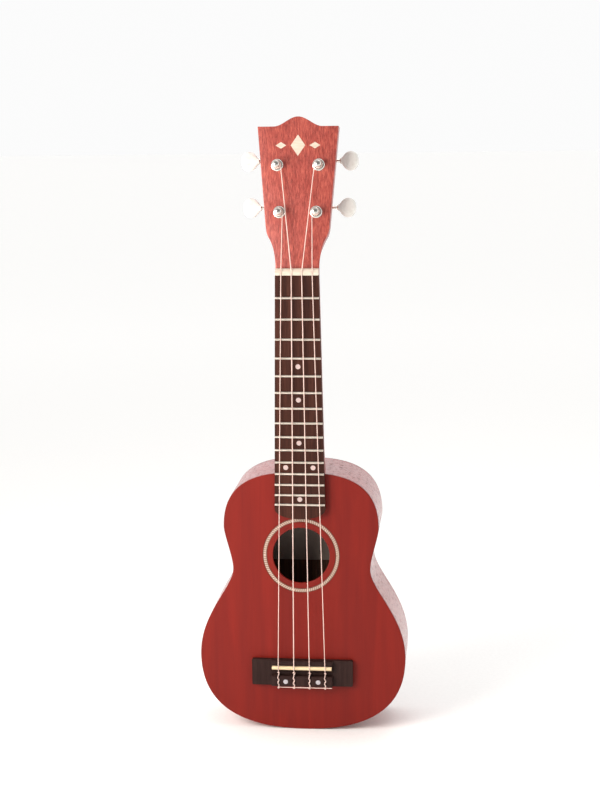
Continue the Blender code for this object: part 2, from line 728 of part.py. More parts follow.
def make_button(name, side, turn, material):
    """Flared button with a rounded tip, bored for the shaft."""
    wide_x = BUTTON_START + 0.0085
    tip_x = BUTTON_START + BUTTON_LENGTH
    outline = [(BUTTON_START, 0.0026)]
    outline += bezier((BUTTON_START, 0.0026), (BUTTON_START + 0.0020, 0.0028),
                      (BUTTON_START + 0.0030, BUTTON_HALF), (wide_x, BUTTON_HALF), 6)
    outline += bezier((wide_x, BUTTON_HALF), (wide_x + 0.0042, BUTTON_HALF), (tip_x, 0.0048), (tip_x, 0.0016), 4)
    loops = []
    around = 16
    for x, half in outline:
        share = (x - BUTTON_START) / BUTTON_LENGTH
        thick = lerp(0.0030, BUTTON_THICK / 2, min(1.0, share * 3)) * math.sqrt(max(0.1, 1 - share ** 6))
        loop = []
        for i in range(around):
            angle = 2 * math.pi * i / around
            c, s = math.cos(angle), math.sin(angle)
            loop.append((x, thick * math.copysign(abs(c) ** 0.75, c), half * math.copysign(abs(s) ** 0.9, s)))
        loops.append(loop)
    bm = bmesh.new()
    skin(bm, loops)
    button = make("button_" + name, mirrored(bm, side), material, turn, smooth=50)
    bm = bmesh.new()
    bore = SHAFT_R + GAP
    turned(bm, [(bore, BUTTON_START - 0.002), (bore, BUTTON_START + 0.0095 + GAP)], 12, axis="X")
    boolean(button, guide(mirrored(bm, side), "button_bore_" + name, turn))


def gear_outline(twist):
    """Tooth outline, with a tooth at the top, as (x, z) points."""
    points = []
    root = GEAR_PITCH_R - GEAR_DEDENDUM
    tip = GEAR_PITCH_R + GEAR_ADDENDUM
    for tooth in range(GEAR_TEETH):
        for radius, share in ((root, -0.30), (tip, -0.13), (tip, 0.13), (root, 0.30)):
            angle = math.pi / 2 + twist + 2 * math.pi * (tooth + share) / GEAR_TEETH
            points.append((radius * math.cos(angle), radius * math.sin(angle)))
    return points


def make_post(name, side, turn, material):
    """String post with its gear pressed on. Its axis is the parent's Y axis."""
    face = -HEAD_T
    top = face - POST_RISE
    profile = [(POST_R - 0.0006, top), (POST_R, top + 0.0006), (POST_R, top + 0.0036),
               (POST_R - 0.0004, top + 0.0044), (POST_R - 0.0004, top + 0.0080), (POST_R, top + 0.0088),
               (POST_R, GAP + PLATE_SHEET + GAP), (POST_SPINDLE_R, GAP + PLATE_SHEET + GAP),
               (POST_SPINDLE_R, WORM_BACK + GEAR_T / 2 + 0.0014)]
    bm = bmesh.new()
    turned(bm, profile, 14)
    post = make("string_post_" + name, bm, material, turn, smooth=35)
    lead = WORM_PITCH / (2 * math.pi * WORM_PITCH_R)
    twist = -side * GEAR_T / 2 * lead / GEAR_PITCH_R
    loops = []
    for y, share in ((WORM_BACK - GEAR_T / 2, -1), (WORM_BACK + GEAR_T / 2, 1)):
        loops.append([(x, y, z) for x, z in gear_outline(share * twist)])
    bm = bmesh.new()
    skin(bm, loops)
    boolean(post, guide(bm, "gear_" + name, turn), "UNION")
    bm = bmesh.new()
    turned(bm, [(STRING_BORE_R, -0.006), (STRING_BORE_R, 0.006)], 10, axis="X")
    bmesh.ops.translate(bm, verts=bm.verts, vec=(0, face - STRING_BORE_RISE, 0))
    boolean(post, guide(bm, "string_bore_" + name, turn))


def make_bushing(name, mount, material):
    """Flanged tube pressed into the head from its face."""
    face = -HEAD_T
    rise = [(BUSHING_BORE_R, face - 0.0013), (BUSHING_FLANGE_R - 0.0007, face - 0.0013),
            (BUSHING_FLANGE_R, face - 0.0008), (BUSHING_FLANGE_R, face - GAP), (BUSHING_R, face - GAP),
            (BUSHING_R, face + BUSHING_DEPTH), (BUSHING_BORE_R, face + BUSHING_DEPTH)]
    sides = 16
    loops = []
    for radius, y in rise + rise[:1]:
        loops.append([(radius * math.cos(2 * math.pi * i / sides), y,
                       radius * math.sin(2 * math.pi * i / sides)) for i in range(sides)])
    bm = bmesh.new()
    rings = skin(bm, loops, closed_ends=False)
    for first, last in zip(rings[0], rings[-1]):
        bmesh.ops.weld_verts(bm, targetmap={last: first})
    make("bushing_" + name, bm, material, mount, smooth=35)


def make_tuners(head, metal, plastic):
    for name, side, pair, _ in tuner_layout():
        mount = empty("tuner_" + name, head, (side * POST_X[pair], HEAD_T, POST_S[pair]))
        worm_axis = empty("worm_axis_" + name, mount, (0, WORM_BACK, WORM_UP))
        make_plate(name, side, mount, metal)
        make_worm(name, side, worm_axis, metal)
        make_button(name, side, worm_axis, plastic)
        make_post(name, side, mount, metal)
        make_bushing(name, mount, metal)


# ---- strings ----
def string_route(index, head_matrix):
    """Points from the back of the tie block over saddle and nut to the turns on the post."""
    radius = STRING_R[index]
    x0, x1 = STRING_SADDLE_X[index], STRING_NUT_X[index]
    bore_y = FACE_Y - TIE_BORE_H
    saddle_y = saddle_string_y(radius)
    nut_y = nut_string_y(radius)
    points = [
        Vector((x0, bore_y, BRIDGE_BACK_Z - 0.0006)),
        Vector((x0, bore_y, TIE_FRONT_Z - 0.0020)),
        Vector((x0, bore_y, TIE_FRONT_Z + 0.0002)),
        Vector((x0, bore_y - 0.0010, TIE_FRONT_Z + 0.0016)),
        Vector((x0, saddle_y + 0.0010, SADDLE_Z - 0.0020)),
        Vector((x0, saddle_y, SADDLE_Z)),
        Vector((x1, nut_y, NUT_Z)),
        Vector((x1, nut_y + 0.0005, NUT_Z + 0.0030)),
    ]
    name, side, pair, _ = next(row for row in tuner_layout() if row[3] == index)
    centre_x, centre_s = side * POST_X[pair], POST_S[pair]
    wrap = POST_R + GAP + radius
    turns, per_turn, pitch = 2, 12, 2 * radius + 0.00015
    leave = Vector((x1 - centre_x, -centre_s))
    start = math.atan2(leave.y, leave.x) - side * math.acos(wrap / leave.length)
    count = turns * per_turn
    for i in range(count + 1):
        angle = start - side * 2 * math.pi * i / per_turn
        height = STRING_BORE_RISE - pitch * (count - i) / per_turn
        local = Vector((centre_x + wrap * math.cos(angle), -height, centre_s + wrap * math.sin(angle)))
        points.append(head_matrix @ local)
    return points


def make_strings(material, head_matrix):
    for index, name in enumerate(STRING_NAMES):
        curve = bpy.data.curves.new("string_" + name, "CURVE")
        curve.dimensions = "3D"
        curve.bevel_depth = STRING_R[index]
        curve.bevel_resolution = 1
        curve.use_fill_caps = True
        curve.render_resolution_u = 0
        points = string_route(index, head_matrix)
        spline = curve.splines.new("POLY")
        spline.points.add(len(points) - 1)
        for target, point in zip(spline.points, points):
            target.co = (*point, 1.0)
        curve.materials.append(material)
        item = bpy.data.objects.new("string_" + name, curve)
        bpy.context.scene.collection.objects.link(item)


def main():
    clear_scene()
    mahogany = finish("stained_mahogany", (0.32, 0.035, 0.028), 0.38)
    inner_wood = finish("spruce", (0.46, 0.30, 0.16), 0.7)
    rosewood = finish("rosewood", (0.09, 0.045, 0.03), 0.5)
    bone = finish("bone", (0.86, 0.76, 0.58), 0.35)
    inlay = finish("inlay", (0.62, 0.52, 0.36), 0.4)
    nickel = finish("nickel_silver", (0.78, 0.76, 0.72), 0.2, 1.0)
    button_white = finish("pearl_plastic", (0.85, 0.84, 0.80), 0.25)
    nylon = finish("nylon", (0.86, 0.78, 0.74), 0.3)

    head = empty("head_frame", None, (0, FACE_Y, HEAD_FOOT_Z), (-HEAD_TILT, 0, 0))
    head_matrix = Matrix.Translation((0, FACE_Y, HEAD_FOOT_Z)) @ Matrix.Rotation(-HEAD_TILT, 4, "X")

    make_soundboard(mahogany)
    make_rosette(inlay)
    make_back(mahogany)
    make_sides(mahogany)
    make_linings(inner_wood)
    make_blocks(inner_wood)
    make_braces(inner_wood)
    make_neck(mahogany, head)
    make_fretboard(rosewood)
    make_frets(nickel)
    make_nut(bone)
    make_bridge(rosewood)
    make_saddle(bone)
    make_tuners(head, nickel, button_white)
    make_strings(nylon, head_matrix)


main()
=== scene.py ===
"""Looks of a soprano ukulele: satin red mahogany, rosewood board, geared tuners and nylon strings."""

import json
import math

import bmesh
import bpy
from mathutils import Matrix, Vector


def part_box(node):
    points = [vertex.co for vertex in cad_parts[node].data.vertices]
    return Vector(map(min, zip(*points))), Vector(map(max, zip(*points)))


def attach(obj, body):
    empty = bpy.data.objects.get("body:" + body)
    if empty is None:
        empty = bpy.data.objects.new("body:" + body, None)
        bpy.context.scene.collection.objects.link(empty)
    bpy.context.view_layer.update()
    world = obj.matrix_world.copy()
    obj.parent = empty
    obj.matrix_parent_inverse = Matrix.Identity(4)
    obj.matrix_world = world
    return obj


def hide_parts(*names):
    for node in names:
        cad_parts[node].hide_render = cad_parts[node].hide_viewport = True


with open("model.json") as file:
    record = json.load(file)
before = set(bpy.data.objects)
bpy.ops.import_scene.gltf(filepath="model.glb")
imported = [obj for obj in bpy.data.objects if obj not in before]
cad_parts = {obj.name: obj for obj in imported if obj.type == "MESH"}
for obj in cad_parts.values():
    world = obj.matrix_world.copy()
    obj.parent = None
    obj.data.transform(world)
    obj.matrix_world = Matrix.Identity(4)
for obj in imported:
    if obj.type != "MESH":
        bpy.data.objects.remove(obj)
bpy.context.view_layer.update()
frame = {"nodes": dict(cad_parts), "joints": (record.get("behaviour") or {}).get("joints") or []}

MM = 0.001

# ---- places read from the frame, metres ----
FACE_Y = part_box("soundboard")[0][1]
BACK_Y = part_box("back")[1][1]
JOINT_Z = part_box("soundboard")[1][2]
TAIL_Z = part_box("soundboard")[0][2]
PLATE_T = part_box("soundboard")[1][1] - FACE_Y
NUT_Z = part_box("nut")[0][2]
HOLE_Z = (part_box("rosette")[0][2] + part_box("rosette")[1][2]) / 2
BOARD_TOP_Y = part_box("fretboard")[0][1]
SADDLE_Z = (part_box("saddle")[0][2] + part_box("saddle")[1][2]) / 2
SADDLE_TOP_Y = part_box("saddle")[0][1]
BRIDGE_REAR_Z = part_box("bridge")[0][2]
TIE_TOP_Y = FACE_Y - 8.5 * MM
JOINTS = {joint["name"]: joint for joint in frame["joints"]}

# ---- sizes of the pieces, metres ----
SCALE_LENGTH = 0.346
UPPER_BOUT = (0.0683, NUT_Z - 0.2223)
WAIST = (0.0607, NUT_Z - 0.2606)
LOWER_BOUT = (0.0915, NUT_Z - 0.3414)
OUTLINE_HANDLES = ((0.026, 0.0477), (0.0082, 0.0108), (0.0178, 0.0386), (0.046, 0.060))
RIB_T = 2.0 * MM
GLUE = 0.04 * MM
HOLE_R = 25.1 * MM
ROSETTE_R = 32.15 * MM
ROSETTE_W = 3.6 * MM
ROSETTE_T = 0.9 * MM

HEAD_TILT = math.radians(10.0)
HEAD_T = 12.5 * MM
HEAD_FOOT_Z = NUT_Z + 6.0 * MM
HEAD_FOOT_HALF = 18.7 * MM
HEAD_FLARE = (24.3 * MM, 24.6 * MM)
HEAD_SHOULDER = (27.4 * MM, 35.5 * MM)
HEAD_TOP = (34.6 * MM, 119.6 * MM)
CROWN_H = 8.3 * MM
CROWN_HALF = 21.0 * MM
NECK_T_NUT = 13.5 * MM
NECK_T_HEEL = 15.5 * MM
HEEL_START_Z = NUT_Z - 0.138
HEEL_DEPTH = 57.5 * MM
BOARD_HALF_NUT = 18.7 * MM
BOARD_TAPER = 0.0168

POST_R = 3.0 * MM
POST_RISE = 11.5 * MM
STRING_BORE_RISE = 6.2 * MM
STRING_R = (0.40 * MM, 0.50 * MM, 0.45 * MM, 0.40 * MM)
STRING_NAMES = ("g", "c", "e", "a")
STRING_NUT_X = (-13.3 * MM, -4.43 * MM, 4.43 * MM, 13.3 * MM)
STRING_SADDLE_X = (-20.8 * MM, -6.93 * MM, 6.93 * MM, 20.8 * MM)
TIE_FRONT_Z = NUT_Z - 0.3572
TIE_BORE_Y = FACE_Y - 5.2 * MM
BRIDGE_DOT_Z = NUT_Z - 0.3622
DOT_R = 2.15 * MM

GEAR_TEETH = 14
GEAR_PITCH_R = 3.5 * MM
GEAR_T = 3.2 * MM
WORM_PITCH = 2 * math.pi * GEAR_PITCH_R / GEAR_TEETH
WORM_PITCH_R = 1.9 * MM
WORM_OUTER_R = 2.35 * MM
WORM_ROOT_R = 1.2 * MM
WORM_BACK = 5.0 * MM
WORM_UP = GEAR_PITCH_R + WORM_PITCH_R
SHAFT_R = 1.35 * MM
BARREL_R = 4.1 * MM
EAR_R = 3.0 * MM
BUTTON_START = 17.6 * MM
BUTTON_LENGTH = 15.3 * MM
TUNERS = (("upper_left", -1, 1), ("upper_right", 1, 2), ("lower_left", -1, 0), ("lower_right", 1, 3))


# ---- camera, light and floor ----
def make_camera():
    """The eye stands to the right of the strings and a little above the middle, and looks slightly down."""
    azimuth, elevation, roll = math.radians(6.115), math.radians(10.99), math.radians(-0.77)
    data = bpy.data.cameras.new("camera")
    data.sensor_width = 36.0
    data.lens = 70.89
    data.clip_end = 50.0
    camera = bpy.data.objects.new("camera", data)
    bpy.context.scene.collection.objects.link(camera)
    turn = Matrix.Rotation(azimuth, 4, "Z") @ Matrix.Rotation(math.pi / 2 - elevation, 4, "X")
    place = Matrix.Translation((0.1431, -1.3382, 0.1304))
    camera.matrix_world = place @ turn @ Matrix.Rotation(roll, 4, "Z")
    bpy.context.scene.camera = camera


def make_area_light(name, location, aim, size, power, tint="#FFFFFF"):
    data = bpy.data.lights.new(name, "AREA")
    data.shape = "RECTANGLE"
    data.size, data.size_y = size
    data.energy = power
    data.color = linear(tint)[:3]
    light = bpy.data.objects.new(name, data)
    bpy.context.scene.collection.objects.link(light)
    light.location = location
    light.rotation_euler = (Vector(aim) - Vector(location)).to_track_quat("-Z", "Y").to_euler()
    light.visible_camera = False


def make_light():
    """A white tent: bright all round, dimmer in front, with a near soft box at the left."""
    world = bpy.data.worlds.new("tent")
    world.use_nodes = True
    bpy.context.scene.world = world
    tree = world.node_tree
    tree.nodes.clear()
    axes = add(tree, "SeparateXYZ", {"Vector": add(tree, "TexCoord").outputs["Generated"]})
    glow = add(tree, "MapRange", {"Value": axes.outputs["Y"], "From Min": -1.0, "From Max": -0.1,
                                  "To Min": 0.22, "To Max": 0.97}, interpolation_type="SMOOTHSTEP")
    light = add(tree, "Background", {"Color": linear("#FFFFFF"), "Strength": glow})
    add(tree, "OutputWorld", {"Surface": light})
    middle = (0.0, 0.0, -0.2)
    make_area_light("key_soft_box", (-0.42, -0.42, -0.02), (0.0, 0.0, -0.18), (0.40, 0.44), 6.0, "#FFF8F2")
    make_area_light("top_soft_box", (0.30, 0.5, 1.1), middle, (0.9, 0.7), 5.5)
    make_area_light("right_card", (1.0, -0.1, -0.1), middle, (0.5, 1.0), 1.8)


def make_floor():
    bm = bmesh.new()
    bmesh.ops.create_grid(bm, x_segments=24, y_segments=24, size=14.0)
    floor = finish_mesh("floor", bm, pale_floor_paper(), body=None)
    floor.location = (0, 0, TAIL_Z - 0.05 * MM)


# ---- mesh tools ----
def finish_mesh(name, bm, material, body="root", matrix=None, smooth=35, side=1):
    """Turn a bmesh into a piece. side -1 mirrors it in its own X."""
    if side < 0:
        bmesh.ops.transform(bm, matrix=Matrix.Diagonal((-1, 1, 1, 1)), verts=bm.verts)
    bmesh.ops.recalc_face_normals(bm, faces=bm.faces)
    mesh = bpy.data.meshes.new(name)
    bm.to_mesh(mesh)
    bm.free()
    if smooth:
        mesh.shade_smooth()
        mesh.set_sharp_from_angle(angle=math.radians(smooth))
    piece = bpy.data.objects.new(name, mesh)
    bpy.context.scene.collection.objects.link(piece)
    if material is not None:
        mesh.materials.append(material)
    if matrix is not None:
        piece.matrix_world = matrix
    if body:
        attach(piece, body)
    return piece


def cut(piece, bm, matrix=None, side=1):
    """Take a closed shape away from a piece, and keep the result in its mesh."""
    tool = finish_mesh("tool", bm, None, body=None, matrix=matrix, side=side)
    combine(piece, tool, "DIFFERENCE")


def combine(piece, tool, operation):
    step = piece.modifiers.new("combine", "BOOLEAN")
    step.object = tool
    step.operation = operation
    step.solver = "EXACT"
    keep_modifiers(piece)
    bpy.data.objects.remove(tool, do_unlink=True)


def keep_modifiers(piece):
    """Write a piece's modifiers into its mesh."""
    bpy.context.view_layer.update()
    whole = piece.evaluated_get(bpy.context.evaluated_depsgraph_get())
    mesh = bpy.data.meshes.new_from_object(whole)
    piece.modifiers.clear()
    piece.data = mesh


def smooth_again(piece):
    """Renew the smooth shading that cuts have broken up."""
    piece.data.shade_smooth()
    piece.data.set_sharp_from_angle(angle=math.radians(30))


def round_edges(piece, width, segments=3, angle=32):
    bevel = piece.modifiers.new("round", "BEVEL")
    bevel.width = width
    bevel.segments = segments
    bevel.limit_method = "ANGLE"
    bevel.angle_limit = math.radians(angle)
    bevel.harden_normals = True
    bevel.use_clamp_overlap = True


def skin(loops, closed=False):
    """Join equal loops of points into a solid. A closed one meets its first loop again."""
    bm = bmesh.new()
    rings = [[bm.verts.new(point) for point in loop] for loop in loops]
    count = len(rings[0])
    for low, high in zip(rings, rings[1:] + (rings[:1] if closed else [])):
        for i in range(count):
            j = (i + 1) % count
            bm.faces.new((low[i], low[j], high[j], high[i]))
    if not closed:
        bm.faces.new(rings[0])
        bm.faces.new(rings[-1])
    return bm


def prism_y(outline, y0, y1):
    return skin([[(x, y, z) for x, z in outline] for y in (y0, y1)])


def prism_x(outline, x0, x1):
    return skin([[(x, y, z) for y, z in outline] for x in (x0, x1)])


def turned(profile, sides, axis="Y", closed=False):
    """Turn a profile of (radius, along) points. A closed profile makes a tube."""
    loops = []
    for radius, along in profile:
        loop = []
        for i in range(sides):
            a = radius * math.cos(2 * math.pi * i / sides)
            b = radius * math.sin(2 * math.pi * i / sides)
            loop.append((a, along, b) if axis == "Y" else (along, a, b))
        loops.append(loop)
    return skin(loops, closed)


def rod(radius, start, end, sides, axis="Y"):
    """A plain round bar, to drill with."""
    return turned([(radius, start), (radius, end)], sides, axis)


def rectangle(x, z):
    return [(-x, -z), (x, -z), (x, z), (-x, z)]


def rounded_box(half, low, high, corner, steps):
    """A rectangle with round corners, even about the centre line, as (x, z)."""
    x, top, foot = half - corner, high - corner, low + corner
    points = []
    for turn, middle in enumerate(((x, top), (-x, top), (-x, foot), (x, foot))):
        for i in range(steps + 1):
            angle = math.pi / 2 * (turn + i / steps)
            points.append((middle[0] + corner * math.cos(angle), middle[1] + corner * math.sin(angle)))
    return points


def beside(x, y, z, *offsets):
    """Points at offsets in Y and Z from one place, in millimetres."""
    return [Vector((x, y + dy * MM, z + dz * MM)) for dy, dz in offsets]


def cubic(p0, p1, p2, p3, t):
    """A point of a cubic curve."""
    weights = ((1 - t) ** 3, 3 * (1 - t) ** 2 * t, 3 * (1 - t) * t * t, t ** 3)
    return tuple(sum(w * p[k] for w, p in zip(weights, (p0, p1, p2, p3))) for k in (0, 1))


def bezier(p0, p1, p2, p3, steps):
    """Points of a cubic curve after its first point."""
    return [cubic(p0, p1, p2, p3, i / steps) for i in range(1, steps + 1)]


def lerp(a, b, t):
    return a + (b - a) * t


def tube(name, points, radius, material, body="root", sides=3):
    """A round cord through points. sides counts a quarter of its outline."""
    curve = bpy.data.curves.new(name, "CURVE")
    curve.dimensions = "3D"
    curve.bevel_depth = radius
    curve.bevel_resolution = sides
    curve.use_fill_caps = True
    spline = curve.splines.new("POLY")
    spline.points.add(len(points) - 1)
    for target, point in zip(spline.points, points):
        target.co = (*point, 1.0)
    spline.use_smooth = True
    curve.materials.append(material)
    piece = bpy.data.objects.new(name, curve)
    bpy.context.scene.collection.objects.link(piece)
    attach(piece, body)
    return piece


def flowing(points, steps=6):
    """Catmull-Rom points through a route."""
    route = [Vector(point) for point in points]
    route = [route[0] * 2 - route[1]] + route + [route[-1] * 2 - route[-2]]
    out = []
    for i in range(1, len(route) - 2):
        p0, p1, p2, p3 = route[i - 1:i + 3]
        for k in range(steps):
            t = k / steps
            out.append(0.5 * ((2 * p1) + (p2 - p0) * t + (2 * p0 - 5 * p1 + 4 * p2 - p3) * t * t
                              + (3 * p1 - p0 - 3 * p2 + p3) * t ** 3))
    out.append(route[-2])
    return out


# ---- material tools ----
def linear(code):
    """An sRGB hex colour as linear RGBA."""
    parts = [int(code[i:i + 2], 16) / 255 for i in (1, 3, 5)]
    return (*(p / 12.92 if p <= 0.04045 else ((p + 0.055) / 1.055) ** 2.4 for p in parts), 1.0)


def add(tree, kind, inputs=None, stops=(), **settings):
    """Add a node, set it up, and set or link its inputs. A node given links its live output."""
    node = tree.nodes.new("ShaderNode" + kind)
    for name, value in settings.items():
        setattr(node, name, value)
    for name, value in (inputs or {}).items():
        if isinstance(value, bpy.types.Node):
            value = next(socket for socket in value.outputs if socket.enabled)
        if isinstance(value, bpy.types.NodeSocket):
            tree.links.new(value, node.inputs[name])
        else:
            node.inputs[name].default_value = value
    for number, (place, code) in enumerate(stops):
        band = node.color_ramp.elements
        step = band[number] if number < len(band) else band.new(place)
        step.position = place
        step.color = linear(code)
    return node


def cells(sizes):
    """A pattern's scale along each axis, from the size of its cells in millimetres."""
    return [1 / (size * MM) for size in sizes]


def new_finish(name):
    """An empty material and its tree."""
    material = bpy.data.materials.new(name)
    material.use_nodes = True
    material.node_tree.nodes.clear()
    return material, material.node_tree


def clouded(name, sizes, noise, stops, sheen, relief, fine=None, extra=None):
    """One cloudy pattern drives colour and sheen, and it or a finer one drives the relief.

    sizes are the cells in millimetres, noise is (detail, roughness, distortion), sheen is the gloss
    at the pattern's two ends, relief is (depth in millimetres, strength), fine is (sizes, roughness).
    """
    material, tree = new_finish(name)
    place = add(tree, "TexCoord").outputs["Object"]
    field = add(tree, "Mapping", {"Vector": place, "Scale": cells(sizes)})
    detail, roughness, distortion = noise
    cloud = add(tree, "TexNoise", {"Vector": field, "Scale": 1.0, "Detail": detail,
                                   "Roughness": roughness, "Distortion": distortion})
    height = cloud
    if fine:
        field = add(tree, "Mapping", {"Vector": place, "Scale": cells(fine[0])})
        height = add(tree, "TexNoise", {"Vector": field, "Scale": 1.0, "Detail": 4.0,
                                        "Roughness": fine[1]})
    inputs = {"Base Color": add(tree, "ValToRGB", {"Fac": cloud}, stops),
              "Roughness": add(tree, "MapRange", {"Value": cloud, "To Min": sheen[0],
                                                  "To Max": sheen[1]}),
              "Normal": add(tree, "Bump", {"Height": height, "Distance": relief[0] * MM,
                                           "Strength": relief[1]})}
    inputs.update(extra or {})
    add(tree, "OutputMaterial", {"Surface": add(tree, "BsdfPrincipled", inputs)})
    return material


# ---- materials ----
def stained_mahogany(name, tones, fine, pore_size, pore_from, pore_depth, gloss, specular, coat,
                     along_rib=False):
    """Mahogany, sanded, stained transparent red and sprayed with thin satin lacquer.

    The stain hides most of the colour change, a broad ribbon figure and fine fibres still show, and the
    open pores break the sheen into short dark scratches along the grain. Real pores are about 0.2 mm
    wide, and are drawn two to five times as wide so that they show.
    """
    material, tree = new_finish(name)
    if along_rib:
        place = add(tree, "Attribute", attribute_name="grain").outputs["Vector"]
    else:
        place = add(tree, "TexCoord").outputs["Object"]
    patterns = []
    for sizes, detail, roughness, distortion in (
            ((11, 11, 150), 3.0, 0.5, 0.6), ((1.1, 1.1, 46), 3.0, 0.6, 0.0),
            (pore_size, 3.0, 0.6, 0.0), ((28, 28, 28), 2.0, 0.55, 0.0)):
        field = add(tree, "Mapping", {"Vector": place, "Scale": cells(sizes)})
        patterns.append(add(tree, "TexNoise", {"Vector": field, "Scale": 1.0, "Detail": detail,
                                               "Roughness": roughness, "Distortion": distortion}))
    ribbon, fibre, pore_field, haze = patterns
    figure = add(tree, "Mix", {"Factor": fine, "A": ribbon, "B": fibre}, data_type="FLOAT")
    dark, middle, light = tones
    stain = add(tree, "ValToRGB", {"Fac": figure}, ((0.34, dark), (0.50, middle), (0.66, light)))
    pores = add(tree, "MapRange", {"Value": pore_field, "From Min": pore_from,
                                   "From Max": pore_from + 0.07})
    shade = add(tree, "Math", {0: pores, 1: pore_depth}, operation="MULTIPLY")
    colour = add(tree, "Mix", {"Factor": shade, "A": stain, "B": linear("#4B1210")}, data_type="RGBA")
    sheen = add(tree, "MapRange", {"Value": haze, "To Min": gloss - 0.05, "To Max": gloss + 0.05})
    dull = add(tree, "MapRange", {"Value": pores, "To Min": sheen, "To Max": 0.8})
    level = add(tree, "Math", {0: 1.0, 1: pores}, operation="SUBTRACT")
    sunk = add(tree, "Bump", {"Height": level, "Distance": 0.12 * MM, "Strength": pore_depth})
    relief = add(tree, "Bump", {"Height": fibre, "Distance": 0.03 * MM, "Strength": 0.3, "Normal": sunk})
    inputs = {"Base Color": colour, "Roughness": dull, "Normal": relief, "Specular IOR Level": specular}
    if coat:
        film = add(tree, "Math", {0: level, 1: coat}, operation="MULTIPLY")
        inputs.update({"Coat Weight": film, "Coat Roughness": 0.22, "Coat IOR": 1.5,
                       "Coat Normal": relief})
    add(tree, "OutputMaterial", {"Surface": add(tree, "BsdfPrincipled", inputs)})
    return material


def oiled_rosewood(name, tones, gloss):
    """Indian rosewood, planed and oiled: straight dark and light lines, open pores and a low sheen."""
    material, tree = new_finish(name)
    place = add(tree, "TexCoord").outputs["Object"]
    patterns = []
    for sizes, distortion in (((3.4, 3.4, 120), 0.3), ((0.7, 0.7, 10), 0.0)):
        field = add(tree, "Mapping", {"Vector": place, "Scale": cells(sizes)})
        patterns.append(add(tree, "TexNoise", {"Vector": field, "Scale": 1.0, "Detail": 4.0,
                                               "Roughness": 0.6, "Distortion": distortion}))
    lines, fibre = patterns
    figure = add(tree, "Mix", {"Factor": 0.35, "A": lines, "B": fibre}, data_type="FLOAT")
    dark, middle, light = tones
    colour = add(tree, "ValToRGB", {"Fac": figure}, ((0.34, dark), (0.50, middle), (0.66, light)))
    sheen = add(tree, "MapRange", {"Value": fibre, "To Min": gloss - 0.06, "To Max": gloss + 0.10})
    relief = add(tree, "Bump", {"Height": fibre, "Distance": 0.04 * MM, "Strength": 0.5})
    shader = add(tree, "BsdfPrincipled", {"Base Color": colour, "Roughness": sheen, "Normal": relief,
                                          "Specular IOR Level": 0.12})
    add(tree, "OutputMaterial", {"Surface": shader})
    return material


def bare_wood(name, tones, across):
    """Wood left bare inside the body, planed: matt, with straight growth lines."""
    dark, middle, light = tones
    stops = ((0.35, dark), (0.50, middle), (0.68, light))
    return clouded(name, (across, across, 90), (3.0, 0.5, 0.0), stops, (0.68, 0.8), (0.05, 0.5))


def label_paper():
    """Uncoated white printing paper, glued down, with a soft felt mottling; its grey-brown tones are
    painted shade for the dark inside of the body.
    """
    return clouded("label_paper", (0.8, 0.8, 0.8), (4.0, 0.55, 0.0), ((0.3, "#94857C"), (0.7, "#AA9A90")),
                   (0.7, 0.85), (0.02, 0.5))


def polished_bone(name, pale, deep):
    """Cream bone substitute, sawn and polished: faint long streaks under a soft gloss."""
    return clouded(name, (9, 1.2, 1.2), (3.0, 0.55, 0.0), ((0.35, deep), (0.65, pale)), (0.26, 0.40),
                   (0.01, 0.4), ((0.4, 0.4, 0.4), 0.55), {"Specular IOR Level": 0.4})


def rope_inlay():
    """Rope rosette: slanted slips of pale and dark veneer between two dark lines, lacquered."""
    slip = 1.9 * MM                     # one pale and one dark slip
    border = ROSETTE_W / 2 - 0.6 * MM
    blur = 0.05 * MM
    material, tree = new_finish("rope_inlay")
    place = add(tree, "Attribute", attribute_name="grain").outputs["Vector"]
    axes = add(tree, "SeparateXYZ", {"Vector": place})
    slant = add(tree, "Math", {0: axes.outputs["X"], 1: 0.35, 2: axes.outputs["Z"]},
                operation="MULTIPLY_ADD")
    turns = add(tree, "Math", {0: slant, 1: 2 * math.pi / slip}, operation="MULTIPLY")
    wave = add(tree, "Math", {0: turns}, operation="SINE")
    pale_share = add(tree, "MapRange", {"Value": wave, "From Min": -0.55, "From Max": -0.05})
    away = add(tree, "Math", {0: axes.outputs["X"]}, operation="ABSOLUTE")
    line = add(tree, "MapRange", {"Value": away, "From Min": border - blur, "From Max": border + blur})
    field = add(tree, "Mapping", {"Vector": place, "Scale": cells((0.4, 0.4, 0.9))})
    fibre = add(tree, "TexNoise", {"Vector": field, "Scale": 1.0, "Detail": 4.0, "Roughness": 0.55})
    pale = add(tree, "ValToRGB", {"Fac": fibre}, ((0.3, "#AD998B"), (0.7, "#C0AD9E")))
    slips = add(tree, "Mix", {"Factor": pale_share, "A": linear("#84604E"), "B": pale}, data_type="RGBA")
    colour = add(tree, "Mix", {"Factor": line, "A": slips, "B": linear("#6A4033")}, data_type="RGBA")
    relief = add(tree, "Bump", {"Height": pale_share, "Distance": 0.03 * MM, "Strength": 0.5})
    sheen = add(tree, "MapRange", {"Value": fibre, "To Min": 0.38, "To Max": 0.5})
    shader = add(tree, "BsdfPrincipled", {"Base Color": colour, "Roughness": sheen, "Normal": relief,
                                          "Specular IOR Level": 0.3})
    add(tree, "OutputMaterial", {"Surface": shader})
    return material


def bright_metal(name, low, high, gloss, line=(0.5, 0.5, 0.5)):
    """Plated or solid metal, buffed: soft colour drift, smears in the gloss, and fine polishing lines."""
    return clouded(name, (4, 4, 4), (3.0, 0.55, 0.0), ((0.3, low), (0.7, high)),
                   (gloss * 0.75, gloss * 1.4), (0.01, 0.2), (line, 0.6), {"Metallic": 1.0})


